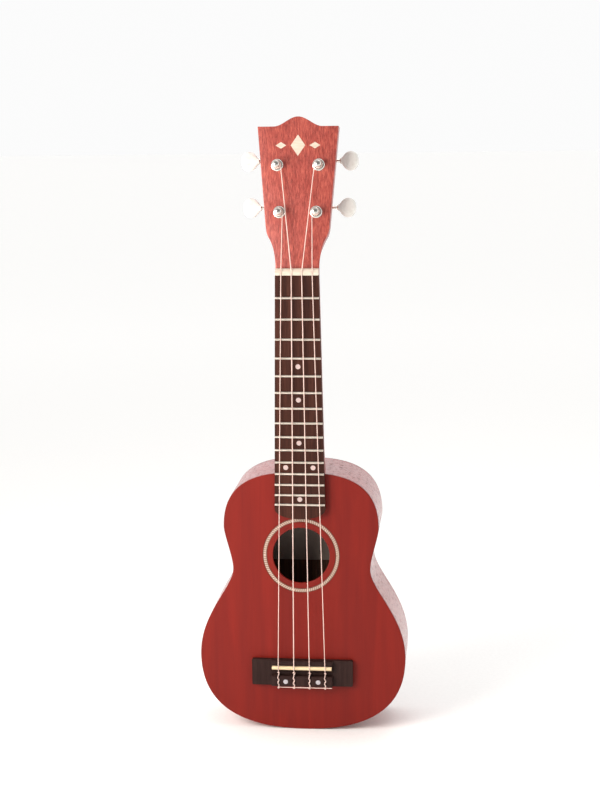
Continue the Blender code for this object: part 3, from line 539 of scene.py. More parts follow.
def pearl_plastic():
    """White moulded button plastic with a faint pearl swirl and a polished skin."""
    stops = ((0.30, "#DAD6CE"), (0.55, "#E3E0DA"), (0.75, "#ECEAE5"))
    return clouded("pearl_plastic", (6, 4, 6), (4.0, 0.6, 1.8), stops, (0.20, 0.30), (0.01, 0.2),
                   ((1, 1, 1), 0.55), {"Coat Weight": 0.3, "Coat Roughness": 0.08})


def mother_of_pearl(name, cool, middle, warm):
    """Pearl shell dot, ground flush: cool and pink patches in wavy layers."""
    return clouded(name, (1.6, 1.6, 1.0), (3.0, 0.6, 2.2), ((0.32, cool), (0.5, middle), (0.68, warm)),
                   (0.18, 0.3), (0.01, 0.4))


def clear_nylon():
    """Drawn nylon monofilament: milky, smooth, with a soft shine along its length."""
    return clouded("clear_nylon", (1.5, 1.5, 12), (2.0, 0.55, 0.0), ((0.3, "#D8B9AE"), (0.7, "#E4C9BE")),
                   (0.25, 0.4), (0.01, 0.3))


def pale_floor_paper():
    """Seamless white paper with a very faint tooth, brighter far away, where it meets the tent."""
    material, tree = new_finish("pale_floor_paper")
    place = add(tree, "TexCoord").outputs["Object"]
    far = add(tree, "VectorMath", {0: place}, operation="LENGTH").outputs["Value"]
    lift = add(tree, "MapRange", {"Value": far, "From Min": 0.2, "From Max": 2.6, "To Min": 0.0,
                                  "To Max": 0.185}, interpolation_type="SMOOTHSTEP")
    field = add(tree, "Mapping", {"Vector": place, "Scale": cells((3, 3, 3))})
    tooth = add(tree, "TexNoise", {"Vector": field, "Scale": 1.0, "Detail": 4.0, "Roughness": 0.55})
    colour = add(tree, "ValToRGB", {"Fac": tooth}, ((0.3, "#F4F3F1"), (0.7, "#F9F8F6")))
    relief = add(tree, "Bump", {"Height": tooth, "Distance": 0.05 * MM, "Strength": 0.2})
    shader = add(tree, "BsdfPrincipled", {"Base Color": colour, "Roughness": 0.7, "Normal": relief,
                                          "Emission Color": linear("#FFFFFF"), "Emission Strength": lift})
    add(tree, "OutputMaterial", {"Surface": shader})
    return material


# ---- the body ----
def half_outline(fine=4):
    """Right half of the body's outline, from the neck joint to the tail, as (x, z)."""
    stations = ((0.0, JOINT_Z), UPPER_BOUT, WAIST, LOWER_BOUT, (0.0, TAIL_Z))
    headings = ((1, 0), (0, -1), (0, -1), (0, -1), (-1, 0))
    points = [stations[0]]
    for i, steps in enumerate((11, 6, 9, 15)):
        start, end = stations[i], stations[i + 1]
        out, back = OUTLINE_HANDLES[i]
        first = (start[0] + headings[i][0] * out, start[1] + headings[i][1] * out)
        second = (end[0] - headings[i + 1][0] * back, end[1] - headings[i + 1][1] * back)
        points += bezier(start, first, second, end, steps * fine)
    points[-1] = (0.0, TAIL_Z)
    return points


def inset(points, distance):
    """Move a half outline inwards, and keep its ends on the centre line."""
    moved = []
    for i, (x, z) in enumerate(points):
        before = points[max(i - 1, 0)]
        after = points[min(i + 1, len(points) - 1)]
        along = Vector((after[0] - before[0], after[1] - before[1]))
        if i in (0, len(points) - 1):
            along.y = 0.0
        along.normalize()
        moved.append((x + along.y * distance, z - along.x * distance))
    return moved


def whole(half):
    return half + [(-x, z) for x, z in reversed(half[1:-1])]


def shifted(bm, x=0.0, y=0.0, z=0.0):
    bmesh.ops.translate(bm, verts=bm.verts, vec=(x, y, z))
    return bm


def leave_bare(plate, side, material):
    """Give a plate's inner face, which looks to the side +1 or -1 in Y, the unstained wood."""
    plate.data.materials.append(material)
    for face in plate.data.polygons:
        if face.normal.y * side > 0.9:
            face.material_index = 1


def make_plates(material, inside):
    """Soundboard with its hole and rosette channel, and the plain back."""
    outline = whole(half_outline())
    top = finish_mesh("satin_soundboard", prism_y(outline, FACE_Y, FACE_Y + PLATE_T), material)
    cut(top, shifted(rod(HOLE_R, FACE_Y - 0.01, FACE_Y + 0.01, 120), z=HOLE_Z))
    inner, outer = ROSETTE_R - ROSETTE_W / 2 - GLUE, ROSETTE_R + ROSETTE_W / 2 + GLUE
    front, floor = FACE_Y - 0.001, FACE_Y + ROSETTE_T + GLUE
    channel = [(inner, front), (outer, front), (outer, floor), (inner, floor)]
    cut(top, shifted(turned(channel, 144, closed=True), z=HOLE_Z))
    leave_bare(top, 1, inside)
    round_edges(top, 0.45 * MM)
    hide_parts("soundboard")
    back = finish_mesh("satin_back", prism_y(outline, BACK_Y - PLATE_T, BACK_Y), material)
    leave_bare(back, -1, inside)
    round_edges(back, 0.7 * MM)
    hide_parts("back")


def make_rosette(material):
    half = ROSETTE_W / 2
    sides = 240
    rim, floor = FACE_Y + 0.05 * MM, FACE_Y + ROSETTE_T
    profile = [(-half, rim), (-half * 0.9, FACE_Y), (0.0, FACE_Y - 0.01 * MM), (half * 0.9, FACE_Y),
               (half, rim), (half, floor), (-half, floor)]
    loops = []
    for i in range(sides):
        angle = 2 * math.pi * i / sides
        loops.append([((ROSETTE_R + r) * math.cos(angle), y, HOLE_Z + (ROSETTE_R + r) * math.sin(angle))
                      for r, y in profile])
    ring = finish_mesh("rope_rosette", skin(loops, closed=True), material)
    # The angle repeats at the seam, so each point's place along the ring is stored by its order.
    count = len(profile)
    field = ring.data.attributes.new("grain", "FLOAT_VECTOR", "POINT")
    for number, item in enumerate(field.data):
        step, row = divmod(number, count)
        item.vector = (profile[row][0], 0.0, abs(step - sides / 2) / sides * 2 * math.pi * ROSETTE_R)
    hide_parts("rosette")


def make_sides(material):
    """Two bent ribs, whose grain follows their length round the body."""
    outer = half_outline()
    inner = inset(outer, RIB_T)
    y0, y1 = FACE_Y + PLATE_T + GLUE, BACK_Y - PLATE_T - GLUE
    lengths = [0.0]
    for a, b in zip(outer, outer[1:]):
        lengths.append(lengths[-1] + math.dist(a, b))
    rows = (y0, y0 + 0.004, lerp(y0, y1, 0.33), lerp(y0, y1, 0.67), y1 - 0.004, y1)
    for name, side in (("left", -1), ("right", 1)):
        loops = []
        grain = []
        for (ox, oz), (ix, iz), length in zip(outer, inner, lengths):
            ox, ix = max(ox, GLUE), max(ix, GLUE)
            loop = [(ox, y, oz) for y in rows] + [(ix, y, iz) for y in reversed(rows)]
            loops.append(loop)
            grain += [(y, 0.0, length + 0.5 * (side > 0)) for _, y, _ in loop]
        rib = finish_mesh("satin_rib_" + name, skin(loops), material, side=side, smooth=30)
        field = rib.data.attributes.new("grain", "FLOAT_VECTOR", "POINT")
        for item, value in zip(field.data, grain):
            item.vector = value
        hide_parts("side_" + name)


def make_label(material):
    """A plain paper label inside, on the back under the hole."""
    outline = rounded_box(34 * MM, NUT_Z - 269.5 * MM, NUT_Z - 228 * MM, 2 * MM, 4)
    rear = BACK_Y - PLATE_T
    label = finish_mesh("paper_label", prism_y(outline, rear - 0.25 * MM, rear - 0.05 * MM), material)


def dress_inside(material):
    for name in frame["nodes"]:
        if "lining" in name or "brace" in name or "block" in name or name == "bridge_patch":
            give(name, material)


def give(name, material, rounding=None):
    """A CAD node's new finish, and small roundings where its edges catch the light."""
    node = frame["nodes"][name]
    node.data.materials.clear()
    node.data.materials.append(material)
    if rounding:
        round_edges(node, rounding, 2)


# ---- neck and head ----
def head_space():
    return Matrix.Translation((0, FACE_Y, HEAD_FOOT_Z)) @ Matrix.Rotation(-HEAD_TILT, 4, "X")


def head_spans():
    flare, shoulder = HEAD_FLARE, HEAD_SHOULDER
    lean = (HEAD_TOP[0] - shoulder[0]) / (HEAD_TOP[1] - shoulder[1])
    foot = (HEAD_FOOT_HALF, 0.0)
    first = (foot, (foot[0] + 0.2 * MM, 7 * MM), (flare[0] - 4.2 * MM, flare[1] - 6.8 * MM), flare)
    second = (flare, (flare[0] + 2.0 * MM, flare[1] + 3.3 * MM),
              (shoulder[0] - 4.5 * MM * lean, shoulder[1] - 4.5 * MM), shoulder)
    return first, second


def head_half(s):
    """Half-width of the head at a height above its foot."""
    for span in head_spans():
        if span[0][1] <= s <= span[-1][1]:
            low, high = 0.0, 1.0
            for _ in range(30):
                t = (low + high) / 2
                x, height = cubic(*span, t)
                low, high = (t, high) if height < s else (low, t)
            return x
    share = (s - HEAD_SHOULDER[1]) / (HEAD_TOP[1] - HEAD_SHOULDER[1])
    return lerp(HEAD_SHOULDER[0], HEAD_TOP[0], share)


def board_half(z):
    return BOARD_HALF_NUT + BOARD_TAPER * (NUT_Z - z)


def neck_section(origin, tilt, half, thick, squareness):
    """A closed section with eased front edges, and a back between a D and a rectangle."""
    ease = 0.5 * MM
    front = []
    for i in range(5):
        angle = math.pi / 2 * i / 4
        front.append((-half + ease - ease * math.cos(angle), ease - ease * math.sin(angle)))
    front += [(-x, depth) for x, depth in reversed(front)]
    corner = 1.2 * MM
    square = [(half, lerp(ease, thick - corner, i / 5)) for i in range(1, 6)]
    for i in range(1, 6):
        angle = math.pi / 2 * i / 5
        square.append((half - corner + corner * math.cos(angle), thick - corner + corner * math.sin(angle)))
    square += [(lerp(half - corner, 0, i / 7), thick) for i in range(1, 8)]
    square += [(-x, depth) for x, depth in reversed(square[:-1])]
    steps = len(square) + 1
    rows = list(front)
    for i, (x, depth) in enumerate(square, start=1):
        angle = math.pi * i / steps
        round_x = half * math.cos(angle)
        round_depth = max(ease, thick * math.sin(angle) ** 0.85)
        rows.append((lerp(round_x, x, squareness), lerp(round_depth, depth, squareness)))
    back = Vector((0.0, math.cos(tilt), -math.sin(tilt)))
    return [tuple(Vector(origin) + Vector((x, 0, 0)) + back * depth) for x, depth in rows]


def eased(points, z):
    """A value between listed (place, value) pairs, with smooth joins."""
    for (z0, v0), (z1, v1) in zip(points, points[1:]):
        if z0 <= z <= z1:
            t = (z - z0) / (z1 - z0)
            return lerp(v0, v1, t * t * (3 - 2 * t))
    return points[-1][1]


def make_neck(material):
    """Neck, heel and head from one length of wood."""
    sections = [neck_section((0, FACE_Y, JOINT_Z - 4 * MM), 0.0, board_half(JOINT_Z), HEEL_DEPTH, 0.0)]
    steps = 26
    for i in range(steps + 1):
        share = math.cos(math.pi / 2 * i / steps)
        z = lerp(HEEL_START_Z, JOINT_Z + 1 * MM, 1 - (1 - share) ** 0.62)
        depth = lerp(NECK_T_HEEL, HEEL_DEPTH, 1 - math.sqrt(1 - share ** 2))
        sections.append(neck_section((0, FACE_Y, z), 0.0, board_half(z) + 0.1 * MM, depth, 0.0))
    for i in range(1, 9):
        z = lerp(HEEL_START_Z, NUT_Z - 10 * MM, i / 8)
        thick = lerp(NECK_T_HEEL, NECK_T_NUT, i / 8)
        sections.append(neck_section((0, FACE_Y, z), 0.0, board_half(z) + 0.1 * MM, thick, 0.0))
    sections.append(neck_section((0, FACE_Y, NUT_Z + 1 * MM), 0.0, HEAD_FOOT_HALF, NECK_T_NUT, 0.03))
    space = head_space()
    for i in range(1, 49):
        s = lerp(0.0, 36 * MM, i / 48)
        squareness = eased(((0.0, 0.05), (22 * MM, 1.0)), s)
        thick = lerp(NECK_T_NUT, HEAD_T, min(1.0, s / (20 * MM)))
        if s > 2.5 * MM:
            place = space @ Vector((0, 0, s))
            sections.append(neck_section(place, HEAD_TILT, head_half(s), thick, squareness))
    for s in (60 * MM, 90 * MM, 132 * MM):
        sections.append(neck_section(space @ Vector((0, 0, s)), HEAD_TILT, head_half(s), HEAD_T, 1.0))
    neck = finish_mesh("mahogany_neck", skin(sections), material, smooth=30)
    cut(neck, prism_y(whole(inset(half_outline(), -GLUE)), FACE_Y - 0.005, BACK_Y + 0.005))
    wave = []
    for i in range(81):
        x = lerp(-CROWN_HALF, CROWN_HALF, i / 80)
        wave.append((x, HEAD_TOP[1] + CROWN_H * 0.5 * (1 + math.cos(math.pi * x / CROWN_HALF))))
    aside, above = 0.05, 0.15
    outline = [(-aside, HEAD_TOP[1])] + wave + [(aside, HEAD_TOP[1]), (aside, above), (-aside, above)]
    cut(neck, prism_y(outline, -0.005, HEAD_T + 0.005), matrix=space)
    for name, _, _ in TUNERS:
        cut(neck, rod(BARREL_R + 0.05 * MM, -0.02, 0.01, 48), matrix=tuner_space(name))
    smooth_again(neck)
    round_edges(neck, 0.4 * MM, 3, 50)
    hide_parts("neck")


def make_head_inlay(material):
    """Three plain lozenges on the head, a generic ornament."""
    space = head_space()
    for name, x, s, half_x, half_s in (("middle", 0, 103.5, 6.2, 9.0), ("left", -14.5, 103.5, 4.6, 2.8),
                                       ("right", 14.5, 103.5, 4.6, 2.8)):
        corners = ((x + half_x, s), (x, s + half_s), (x - half_x, s), (x, s - half_s))
        lozenge = prism_y([(a * MM, b * MM) for a, b in corners], -0.04 * MM, 0.3 * MM)
        piece = finish_mesh("head_inlay_" + name, lozenge, material, matrix=space)


# ---- fretboard ----
def fret_z(number):
    return NUT_Z - SCALE_LENGTH * (1 - 2 ** (-number / 12))


def make_dot(name, x, y, z, rise, rim, depth, material):
    """A flat disc with an eased rim. Its heights are in millimetres."""
    profile = [(0.05 * MM, -rise * MM), (DOT_R * 0.9, -rise * MM), (DOT_R, rim * MM), (DOT_R, depth * MM)]
    finish_mesh(name, shifted(turned(profile, 36), x, y, z), material)


def make_dots(material):
    """Pearl position dots, pressed flush between the frets."""
    for number, places in ((5, (0,)), (7, (0,)), (10, (0,)), (12, (-11.9, 11.9)), (15, (0,))):
        z = (fret_z(number) + fret_z(number - 1)) / 2 + 0.5 * MM
        for x in places:
            name = "position_dot_%02d" % number + ("" if x == 0 else "_left" if x < 0 else "_right")
            make_dot(name, x * MM, BOARD_TOP_Y, z, 0.03, 0.0, 0.6, material)


# ---- tuners ----
def tuner_space(name):
    """A tuner's own space: origin on the post's axis at the head's back, Y backwards, Z up the head."""
    joint = JOINTS["wind_" + name]
    back = -Vector(joint["axis"]).normalized()
    up = Vector((1, 0, 0)).cross(back)
    turn = Matrix((Vector((1, 0, 0)), back, up)).transposed().to_4x4()
    return Matrix.Translation(joint["pos_m"]) @ turn


def gear_outline(twist):
    points = []
    root, tip = GEAR_PITCH_R - 0.70 * MM, GEAR_PITCH_R + 0.45 * MM
    flank = ((root, 0.36), (root + 0.06 * MM, 0.29), (GEAR_PITCH_R, 0.21), (tip - 0.1 * MM, 0.14),
             (tip, 0.10))
    shape = [(radius, -share) for radius, share in flank] + list(reversed(flank))
    for tooth in range(GEAR_TEETH):
        for radius, share in shape:
            angle = math.pi / 2 + twist + 2 * math.pi * (tooth + share) / GEAR_TEETH
            points.append((radius * math.cos(angle), radius * math.sin(angle)))
    return points


def make_post(name, side, space, metal, brass):
    """Turned string post with a waist and a cross hole, its gear, and the screw that holds the gear."""
    body = "post_" + name
    face = -HEAD_T
    top = face - POST_RISE
    r = POST_R
    profile = [(r * math.sin(math.pi * i / 24), top + 1.3 * MM * (1 - math.cos(math.pi * i / 24)))
               for i in range(1, 12)]
    waist = ((0, 1.4), (0, 3.9), (-0.15, 4.3), (-0.36, 4.7), (-0.42, 5.6), (-0.42, 7.2), (-0.3, 8.2),
             (-0.05, 8.8), (0, 9.2))
    profile += [(r + a * MM, top + b * MM) for a, b in waist]
    profile += [(r, 1.6 * MM), (2.0 * MM, 1.6 * MM), (2.0 * MM, 3.3 * MM), (0.3 * MM, 3.3 * MM)]
    post = finish_mesh("turned_post_" + name, turned(profile, 40), metal, body, space, smooth=40)
    hole = rod(0.75 * MM, -6 * MM, 6 * MM, 20, "X")
    cut(post, shifted(hole, y=face - STRING_BORE_RISE), matrix=space)
    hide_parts("string_post_" + name)
    lead = WORM_PITCH / (2 * math.pi * WORM_PITCH_R)
    twist = -side * GEAR_T / 2 * lead / GEAR_PITCH_R
    loops = [[(x, WORM_BACK + share * GEAR_T / 2, z) for x, z in gear_outline(share * twist)]
             for share in (-1.0, -0.5, 0.0, 0.5, 1.0)]
    gear = finish_mesh("brass_gear_" + name, skin(loops), brass, body, space, smooth=35)
    round_edges(gear, 0.08 * MM, 1, 50)
    rise = WORM_BACK + GEAR_T / 2 + 0.02 * MM
    head = ((2.1, 0), (2.1, 0.6), (1.8, 1.0), (0.9, 1.25), (0.05, 1.3))
    screw = turned([(a * MM, rise + b * MM) for a, b in head], 32)
    screw = finish_mesh("gear_screw_" + name, screw, metal, body, space, smooth=40)
    cut(screw, prism_y(rectangle(3 * MM, 0.25 * MM), rise + 0.75 * MM, rise + 3 * MM), matrix=space)


def make_bushing(name, space, metal):
    """Flanged bushing, pressed into the head from its face."""
    face = -HEAD_T
    bore, rim = 3.25 * MM, 5.3 * MM
    profile = [(bore, face - 1.2 * MM), (bore + 0.12 * MM, face - 1.3 * MM)]
    profile += [(lerp(bore + 0.3 * MM, rim, math.sin(math.pi / 2 * i / 8)),
                 face - 0.3 * MM - 1.0 * MM * math.cos(math.pi / 2 * i / 8)) for i in range(9)]
    end = face + 7.5 * MM
    profile += [(rim, face - GLUE), (BARREL_R, face - GLUE), (BARREL_R, end), (bore, end)]
    bushing = turned(profile, 48, closed=True)
    bushing = finish_mesh("bushing_flange_" + name, bushing, metal, "root", space, smooth=40)
    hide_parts("bushing_" + name)


def make_worm(name, side, space, metal):
    """Shaft with one deep rounded thread, ground on the ends where the plate's ears carry it."""
    bm = bmesh.new()
    sides, per_pitch, pitches = 28, 8, 4
    shape = ((0.02, 0.0), (0.26, 0.0), (0.34, 0.25), (0.46, 0.9), (0.53, 1.0), (0.75, 1.0), (0.82, 0.9),
             (0.94, 0.25))
    rows = per_pitch * pitches
    start = -WORM_PITCH * (pitches // 2 + 0.15)

    def corner(x, radius, step):
        angle = 2 * math.pi * step / sides - math.pi / 2
        return bm.verts.new((x, radius * math.cos(angle), radius * math.sin(angle)))

    def on_thread(step, row):
        offset, share = shape[row % per_pitch]
        x = start + WORM_PITCH * (step / sides + row // per_pitch + offset)
        return corner(x, lerp(WORM_ROOT_R, WORM_OUTER_R, share), step)

    grid = [[on_thread(step, row) for row in range(rows + 1)] for step in range(sides)]
    last = [on_thread(sides, row) for row in range(rows - per_pitch + 1, rows + 1)]
    grid.append(grid[0][per_pitch:] + last)
    for near, far in zip(grid, grid[1:]):
        for row in range(rows):
            bm.faces.new((near[row], far[row], far[row + 1], near[row + 1]))
    low, high = start - 0.5 * MM, start + WORM_PITCH * (pitches + 1) + 0.5 * MM
    ends = ((0, (low, low - 0.2 * MM, -7.4 * MM, -7.6 * MM)),
            (rows, (high, high + 0.2 * MM, BUTTON_START + 9.2 * MM, BUTTON_START + 9.4 * MM)))
    for row, places in ends:
        rings = []
        for k, x in enumerate(places):
            radius = SHAFT_R - (0.25 * MM if k == 3 else 0.0)
            rings.append([corner(x, radius, i) for i in range(sides)])
        for i in range(sides):
            j = (i + 1) % sides
            bm.faces.new((grid[i][row], grid[i + 1][row], rings[0][j], rings[0][i]))
        column = [grid[0][k] for k in range(per_pitch + 1)]
        if row:
            column = [grid[sides][rows - k] for k in range(per_pitch + 1)]
        for a, b in zip(column, column[1:]):
            bm.faces.new((a, b, rings[0][0]))
        for near, far in zip(rings, rings[1:]):
            for i in range(sides):
                j = (i + 1) % sides
                bm.faces.new((near[i], near[j], far[j], far[i]))
        bm.faces.new(rings[-1])
    worm = finish_mesh("threaded_worm_" + name, bm, metal, "knob_" + name,
                       space @ Matrix.Translation((0, WORM_BACK, WORM_UP)), side=side, smooth=40)
    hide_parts("worm_shaft_" + name)


def make_button(name, side, space, plastic, metal):
    """Flared button: a thick round neck, a wide thin paddle and a full rounded rim."""
    length = BUTTON_LENGTH
    wide, half_wide = 8.5 * MM, 8.4 * MM
    outline = [(0.0, 2.6 * MM)]
    outline += bezier((0, 2.6 * MM), (2.0 * MM, 2.8 * MM), (3.0 * MM, half_wide), (wide, half_wide), 18)
    outline += bezier((wide, half_wide), (12.7 * MM, half_wide), (length, 4.8 * MM), (length, 1.2 * MM), 16)
    loops = []
    around = 40
    for x, half in outline:
        share = x / length
        thick = lerp(2.9 * MM, 2.3 * MM, min(1.0, share * 2.2))
        thick = lerp(thick, 3.3 * MM, max(0.0, (share - 0.35) / 0.65) ** 1.2)
        thick *= math.sqrt(max(0.02, 1 - share ** 7))
        loop = []
        for i in range(around):
            c, s = math.cos(2 * math.pi * i / around), math.sin(2 * math.pi * i / around)
            loop.append((BUTTON_START + x, thick * math.copysign(abs(c) ** 0.8, c),
                         half * math.copysign(abs(s) ** 0.95, s)))
        loops.append(loop)
    axle = space @ Matrix.Translation((0, WORM_BACK, WORM_UP))
    button = finish_mesh("moulded_button_" + name, skin(loops), plastic, "knob_" + name, axle, side=side,
                         smooth=60)
    bore = rod(SHAFT_R + 0.03 * MM, BUTTON_START - 2 * MM, BUTTON_START + 9.5 * MM, 28, "X")
    cut(button, bore, matrix=axle, side=side)
    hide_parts("button_" + name)
    inner = SHAFT_R + 0.05 * MM
    washer = ((inner, -0.9), (2.3 * MM, -0.9), (2.5 * MM, -0.6), (2.5 * MM, -0.05), (inner, -0.05))
    collar = turned([(radius, BUTTON_START + x * MM) for radius, x in washer], 36, axis="X", closed=True)
    collar = finish_mesh("button_washer_" + name, collar, metal, "knob_" + name, axle, side=side, smooth=40)


def make_plate(name, space, metal):
    """Stamped plate with bent ears for the worm, rounded corners and two screw holes."""
    rim = rounded_box(7.4 * MM, -6.2 * MM, 9.2 * MM, 1.6 * MM, 6)
    y0, y1 = 0.05 * MM, 1.1 * MM
    plate = finish_mesh("stamped_plate_" + name, prism_y(rim, y0, y1), metal, "root", space, smooth=35)
    for x0, x1 in ((-6.4 * MM, -5.2 * MM), (5.2 * MM, 6.4 * MM)):
        ear = [(y0 + 0.4 * MM, WORM_UP + EAR_R)]
        for i in range(21):
            angle = math.pi * i / 20
            ear.append((WORM_BACK + EAR_R * math.sin(angle), WORM_UP + EAR_R * math.cos(angle)))
        ear.append((y0 + 0.4 * MM, WORM_UP - EAR_R))
        tool = finish_mesh("tool", prism_x(ear, x0, x1), metal, body=None, matrix=space)
        combine(plate, tool, "UNION")
    bearing = rod(SHAFT_R + 0.1 * MM, -0.01, 0.01, 28, "X")
    cut(plate, shifted(bearing, y=WORM_BACK, z=WORM_UP), matrix=space)
    cut(plate, rod(POST_R + 0.3 * MM, -0.01, 0.003, 36), matrix=space)
    smooth_again(plate)
    round_edges(plate, 0.15 * MM, 2, 50)
    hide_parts("tuner_plate_" + name)
    dome = ((1.25, 0.02), (1.25, 0.25), (1.0, 0.6), (0.5, 0.78), (0.03, 0.82))
    for place, z in (("low", -4.7 * MM), ("high", 8.0 * MM)):
        head = shifted(turned([(a * MM, y1 + b * MM) for a, b in dome], 28), z=z)
        screw = finish_mesh("plate_screw_%s_%s" % (place, name), head, metal, "root", space, smooth=40)
        for wide, tall in ((0.9, 0.14), (0.14, 0.9)):
            cross = prism_y(rectangle(wide * MM, tall * MM), y1 + 0.45 * MM, y1 + 2 * MM)
            cut(screw, shifted(cross, z=z), matrix=space)


def make_tuners(metal, brushed, brass, plastic):
    for name, side, _ in TUNERS:
        space = tuner_space(name)
        make_post(name, side, space, metal, brass)
        make_bushing(name, space, metal)
        make_worm(name, side, space, metal)
        make_button(name, side, space, plastic, metal)
        make_plate(name, space, brushed)


# ---- strings ----
def string_route(index, name, side):
    """From the hole in the tie block over saddle and nut to the turns on the post."""
    radius = STRING_R[index]
    x0, x1 = STRING_SADDLE_X[index], STRING_NUT_X[index]
    saddle_y = SADDLE_TOP_Y - radius
    nut_y = BOARD_TOP_Y - 1.6 * MM - radius
    space = tuner_space(name)
    foot = space.inverted() @ Vector((x1, nut_y, NUT_Z + 3 * MM))
    wrap = POST_R - 0.25 * MM + radius
    turns, per_turn, pitch = 2.5, 36, 2 * radius + 0.06 * MM
    reach = math.hypot(foot.x, foot.z)
    start = math.atan2(foot.z, foot.x) - side * math.acos(wrap / reach)
    points = beside(x0, TIE_BORE_Y, TIE_FRONT_Z, (0, -2), (0, 0.2), (-0.9, 1.6))
    points += beside(x0, saddle_y, SADDLE_Z, (0.9, -1.9), (0.12, -0.6), (0, 0.1))
    points += beside(x1, nut_y, NUT_Z, (0, 0.4), (0.06, 1.4), (0.35, 3.0))
    count = int(turns * per_turn)
    for i in range(count + 1):
        angle = start - side * 2 * math.pi * i / per_turn
        height = STRING_BORE_RISE - 0.45 * MM - pitch * (count - i) / per_turn
        points.append(space @ Vector((wrap * math.cos(angle), -HEAD_T - height, wrap * math.sin(angle))))
    return points


def make_strings(material):
    for name, side, index in TUNERS:
        letter = STRING_NAMES[index]
        radius = STRING_R[index]
        string = tube("nylon_string_" + letter, string_route(index, name, side), radius * 0.88, material)
        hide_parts("string_" + letter)
        space = tuner_space(name)
        y = -HEAD_T - STRING_BORE_RISE
        end = [space @ Vector((x * MM, y - bend * MM, 0)) for x, bend in
               ((-1.5, 0), (0, 0), (2.6, 0), (3.4, 0.25), (4.1, 0.9))]
        stub = tube("string_end_" + letter, flowing(end), radius * 0.95, material, "post_" + name)
        make_tie(index, letter, radius, material)


def make_tie(index, letter, radius, material):
    """Round the block, round the string once, twisted back over the block, and a tail on its edge."""
    x0 = STRING_SADDLE_X[index]
    top = TIE_TOP_Y - radius
    rear = BRIDGE_REAR_Z
    valley = Vector((x0, lerp(TIE_BORE_Y, SADDLE_TOP_Y, 0.45), lerp(TIE_FRONT_Z, SADDLE_Z, 0.38)))
    twist = 0.5 * MM
    loop = beside(x0, TIE_BORE_Y, rear, (0, 2), (0, -0.3), (-0.9, -0.9))
    loop += beside(x0, top, rear, (1.2, -0.7), (0.2, -0.1), (-0.1, 0.6))
    length = TIE_FRONT_Z - rear - 1.6 * MM
    turns, steps = 1.75, 30
    for i in range(steps + 1):
        angle = 2 * math.pi * turns * i / steps
        loop.append((x0 + twist * math.sin(angle), top - 0.1 * MM, rear + 0.8 * MM + length * i / steps))
    around = radius * 2.1
    for i in range(13):
        angle = math.pi * 0.1 + 2 * math.pi * i / 12
        loop.append((valley.x + around * math.sin(angle), valley.y - around * math.cos(angle),
                     valley.z + (i / 12 - 0.5) * 2 * radius))
    back = []
    for i in range(steps + 1):
        angle = 2 * math.pi * turns * (1 - i / steps) + 0.5
        back.append((x0 + twist * math.sin(angle), top - 0.1 * MM - radius * 1.7,
                     rear + 0.8 * MM + length * (1 - i / steps)))
    reach = STRING_SADDLE_X[index + 1] - 0.4 * MM if index < 3 else x0 + 6.0 * MM
    edge_y = TIE_TOP_Y + 0.1 * MM - radius
    knot = []
    for i in range(17):
        angle = 4 * math.pi * i / 16
        knot.append((x0 + 0.6 * MM * math.sin(angle), top + 0.5 * MM * (0.5 - i / 16),
                     rear - 0.55 * MM + 0.6 * MM * math.cos(angle)))
    tail = [
        (x0 + 0.9 * MM, top + 0.15 * MM, rear - 0.1 * MM), (x0 + 2.6 * MM, edge_y, rear - 0.25 * MM),
        (lerp(x0, reach, 0.5), edge_y + 0.15 * MM, rear - 0.3 * MM),
        (reach, edge_y + 0.05 * MM, rear - 0.25 * MM),
    ]
    route = flowing(loop + back + knot + tail, 4)
    tie = tube("string_tie_" + letter, route, radius * 0.8, material, sides=2)


def make_bridge_dots(material):
    for name, x in (("left", -14.5), ("right", 14.5)):
        make_dot("bridge_dot_" + name, x * MM, TIE_TOP_Y, BRIDGE_DOT_Z, 0.04, 0.02, 0.8, material)


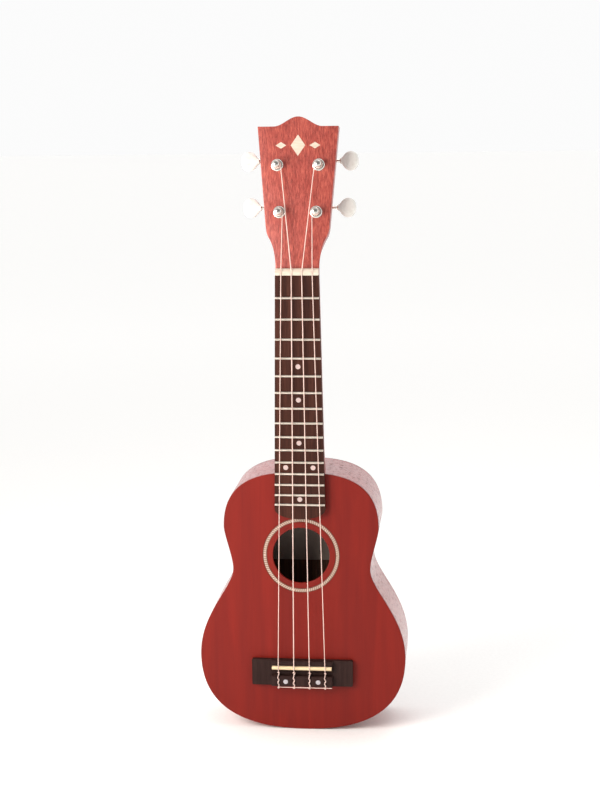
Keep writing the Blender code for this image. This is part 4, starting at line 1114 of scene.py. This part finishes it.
def main():
    make_camera()
    make_light()
    make_floor()
    # The rib and neck copies are lighter in tone than the face: partly their own wood, and partly painted
    # light standing in for the glare on the ribs and on the tilted-back head.
    face_wood = stained_mahogany("stained_mahogany_face", ("#6C1209", "#74150A", "#7C180C"), 0.25,
                                 (0.5, 0.5, 7), 0.64, 0.3, 0.5, 0.22, 0.0)
    rib_wood = stained_mahogany("stained_mahogany_rib", ("#8A2119", "#98281E", "#A63126"), 0.55,
                                (1.0, 1.0, 4.5), 0.55, 0.9, 0.32, 0.75, 1.0, along_rib=True)
    neck_wood = stained_mahogany("stained_mahogany_neck", ("#7F2A21", "#A14237", "#BD5A49"), 0.8,
                                 (0.5, 0.5, 4), 0.57, 0.45, 0.42, 0.5, 0.5)
    board_wood = oiled_rosewood("rosewood_board", ("#2C1611", "#3B1F17", "#4B2A20"), 0.45)
    bridge_wood = oiled_rosewood("rosewood_bridge", ("#231310", "#2C1B18", "#362420"), 0.42)
    bare_mahogany = bare_wood("bare_mahogany", ("#4A2C1E", "#5C3A28", "#6E4834"), 1.4)
    spruce = bare_wood("bare_spruce", ("#8F6A44", "#B08A5C", "#C4A274"), 2.0)
    nut_bone = polished_bone("nut_bone", "#DACCBC", "#CCBBA8")
    saddle_bone = polished_bone("saddle_bone", "#E8D2AC", "#DABF94")
    rope = rope_inlay()
    fret_wire = bright_metal("fret_nickel_silver", "#D3C8BA", "#E2D8CC", 0.38)
    nickel = bright_metal("nickel_plate", "#DAD6CE", "#EDE9E1", 0.17)
    brushed = bright_metal("brushed_nickel", "#C8C4BC", "#DAD6CE", 0.28, (3.0, 0.1, 0.1))
    brass = bright_metal("brass_gear", "#C29C50", "#D8B66C", 0.3)
    plastic = pearl_plastic()
    pearl = mother_of_pearl("pearl_dot", "#B5A5A3", "#C4AFAA", "#CDABA4")
    bridge_pearl = mother_of_pearl("pearl_dot_bridge", "#96939A", "#ABA6AB", "#B8B0B4")
    nylon = clear_nylon()

    make_plates(face_wood, bare_mahogany)
    make_rosette(rope)
    make_sides(rib_wood)
    make_label(label_paper())
    dress_inside(spruce)
    make_neck(neck_wood)
    make_head_inlay(nut_bone)
    give("fretboard", board_wood)
    for number in range(1, 16):
        give("fret_%02d" % number, fret_wire)
    give("nut", nut_bone, 0.15 * MM)
    give("saddle", saddle_bone, 0.15 * MM)
    give("bridge", bridge_wood, 0.35 * MM)
    make_dots(pearl)
    make_bridge_dots(bridge_pearl)
    make_tuners(nickel, brushed, brass, plastic)
    make_strings(nylon)

    scene = bpy.context.scene
    scene.view_settings.view_transform = "Standard"
    scene.view_settings.look = "None"


main()
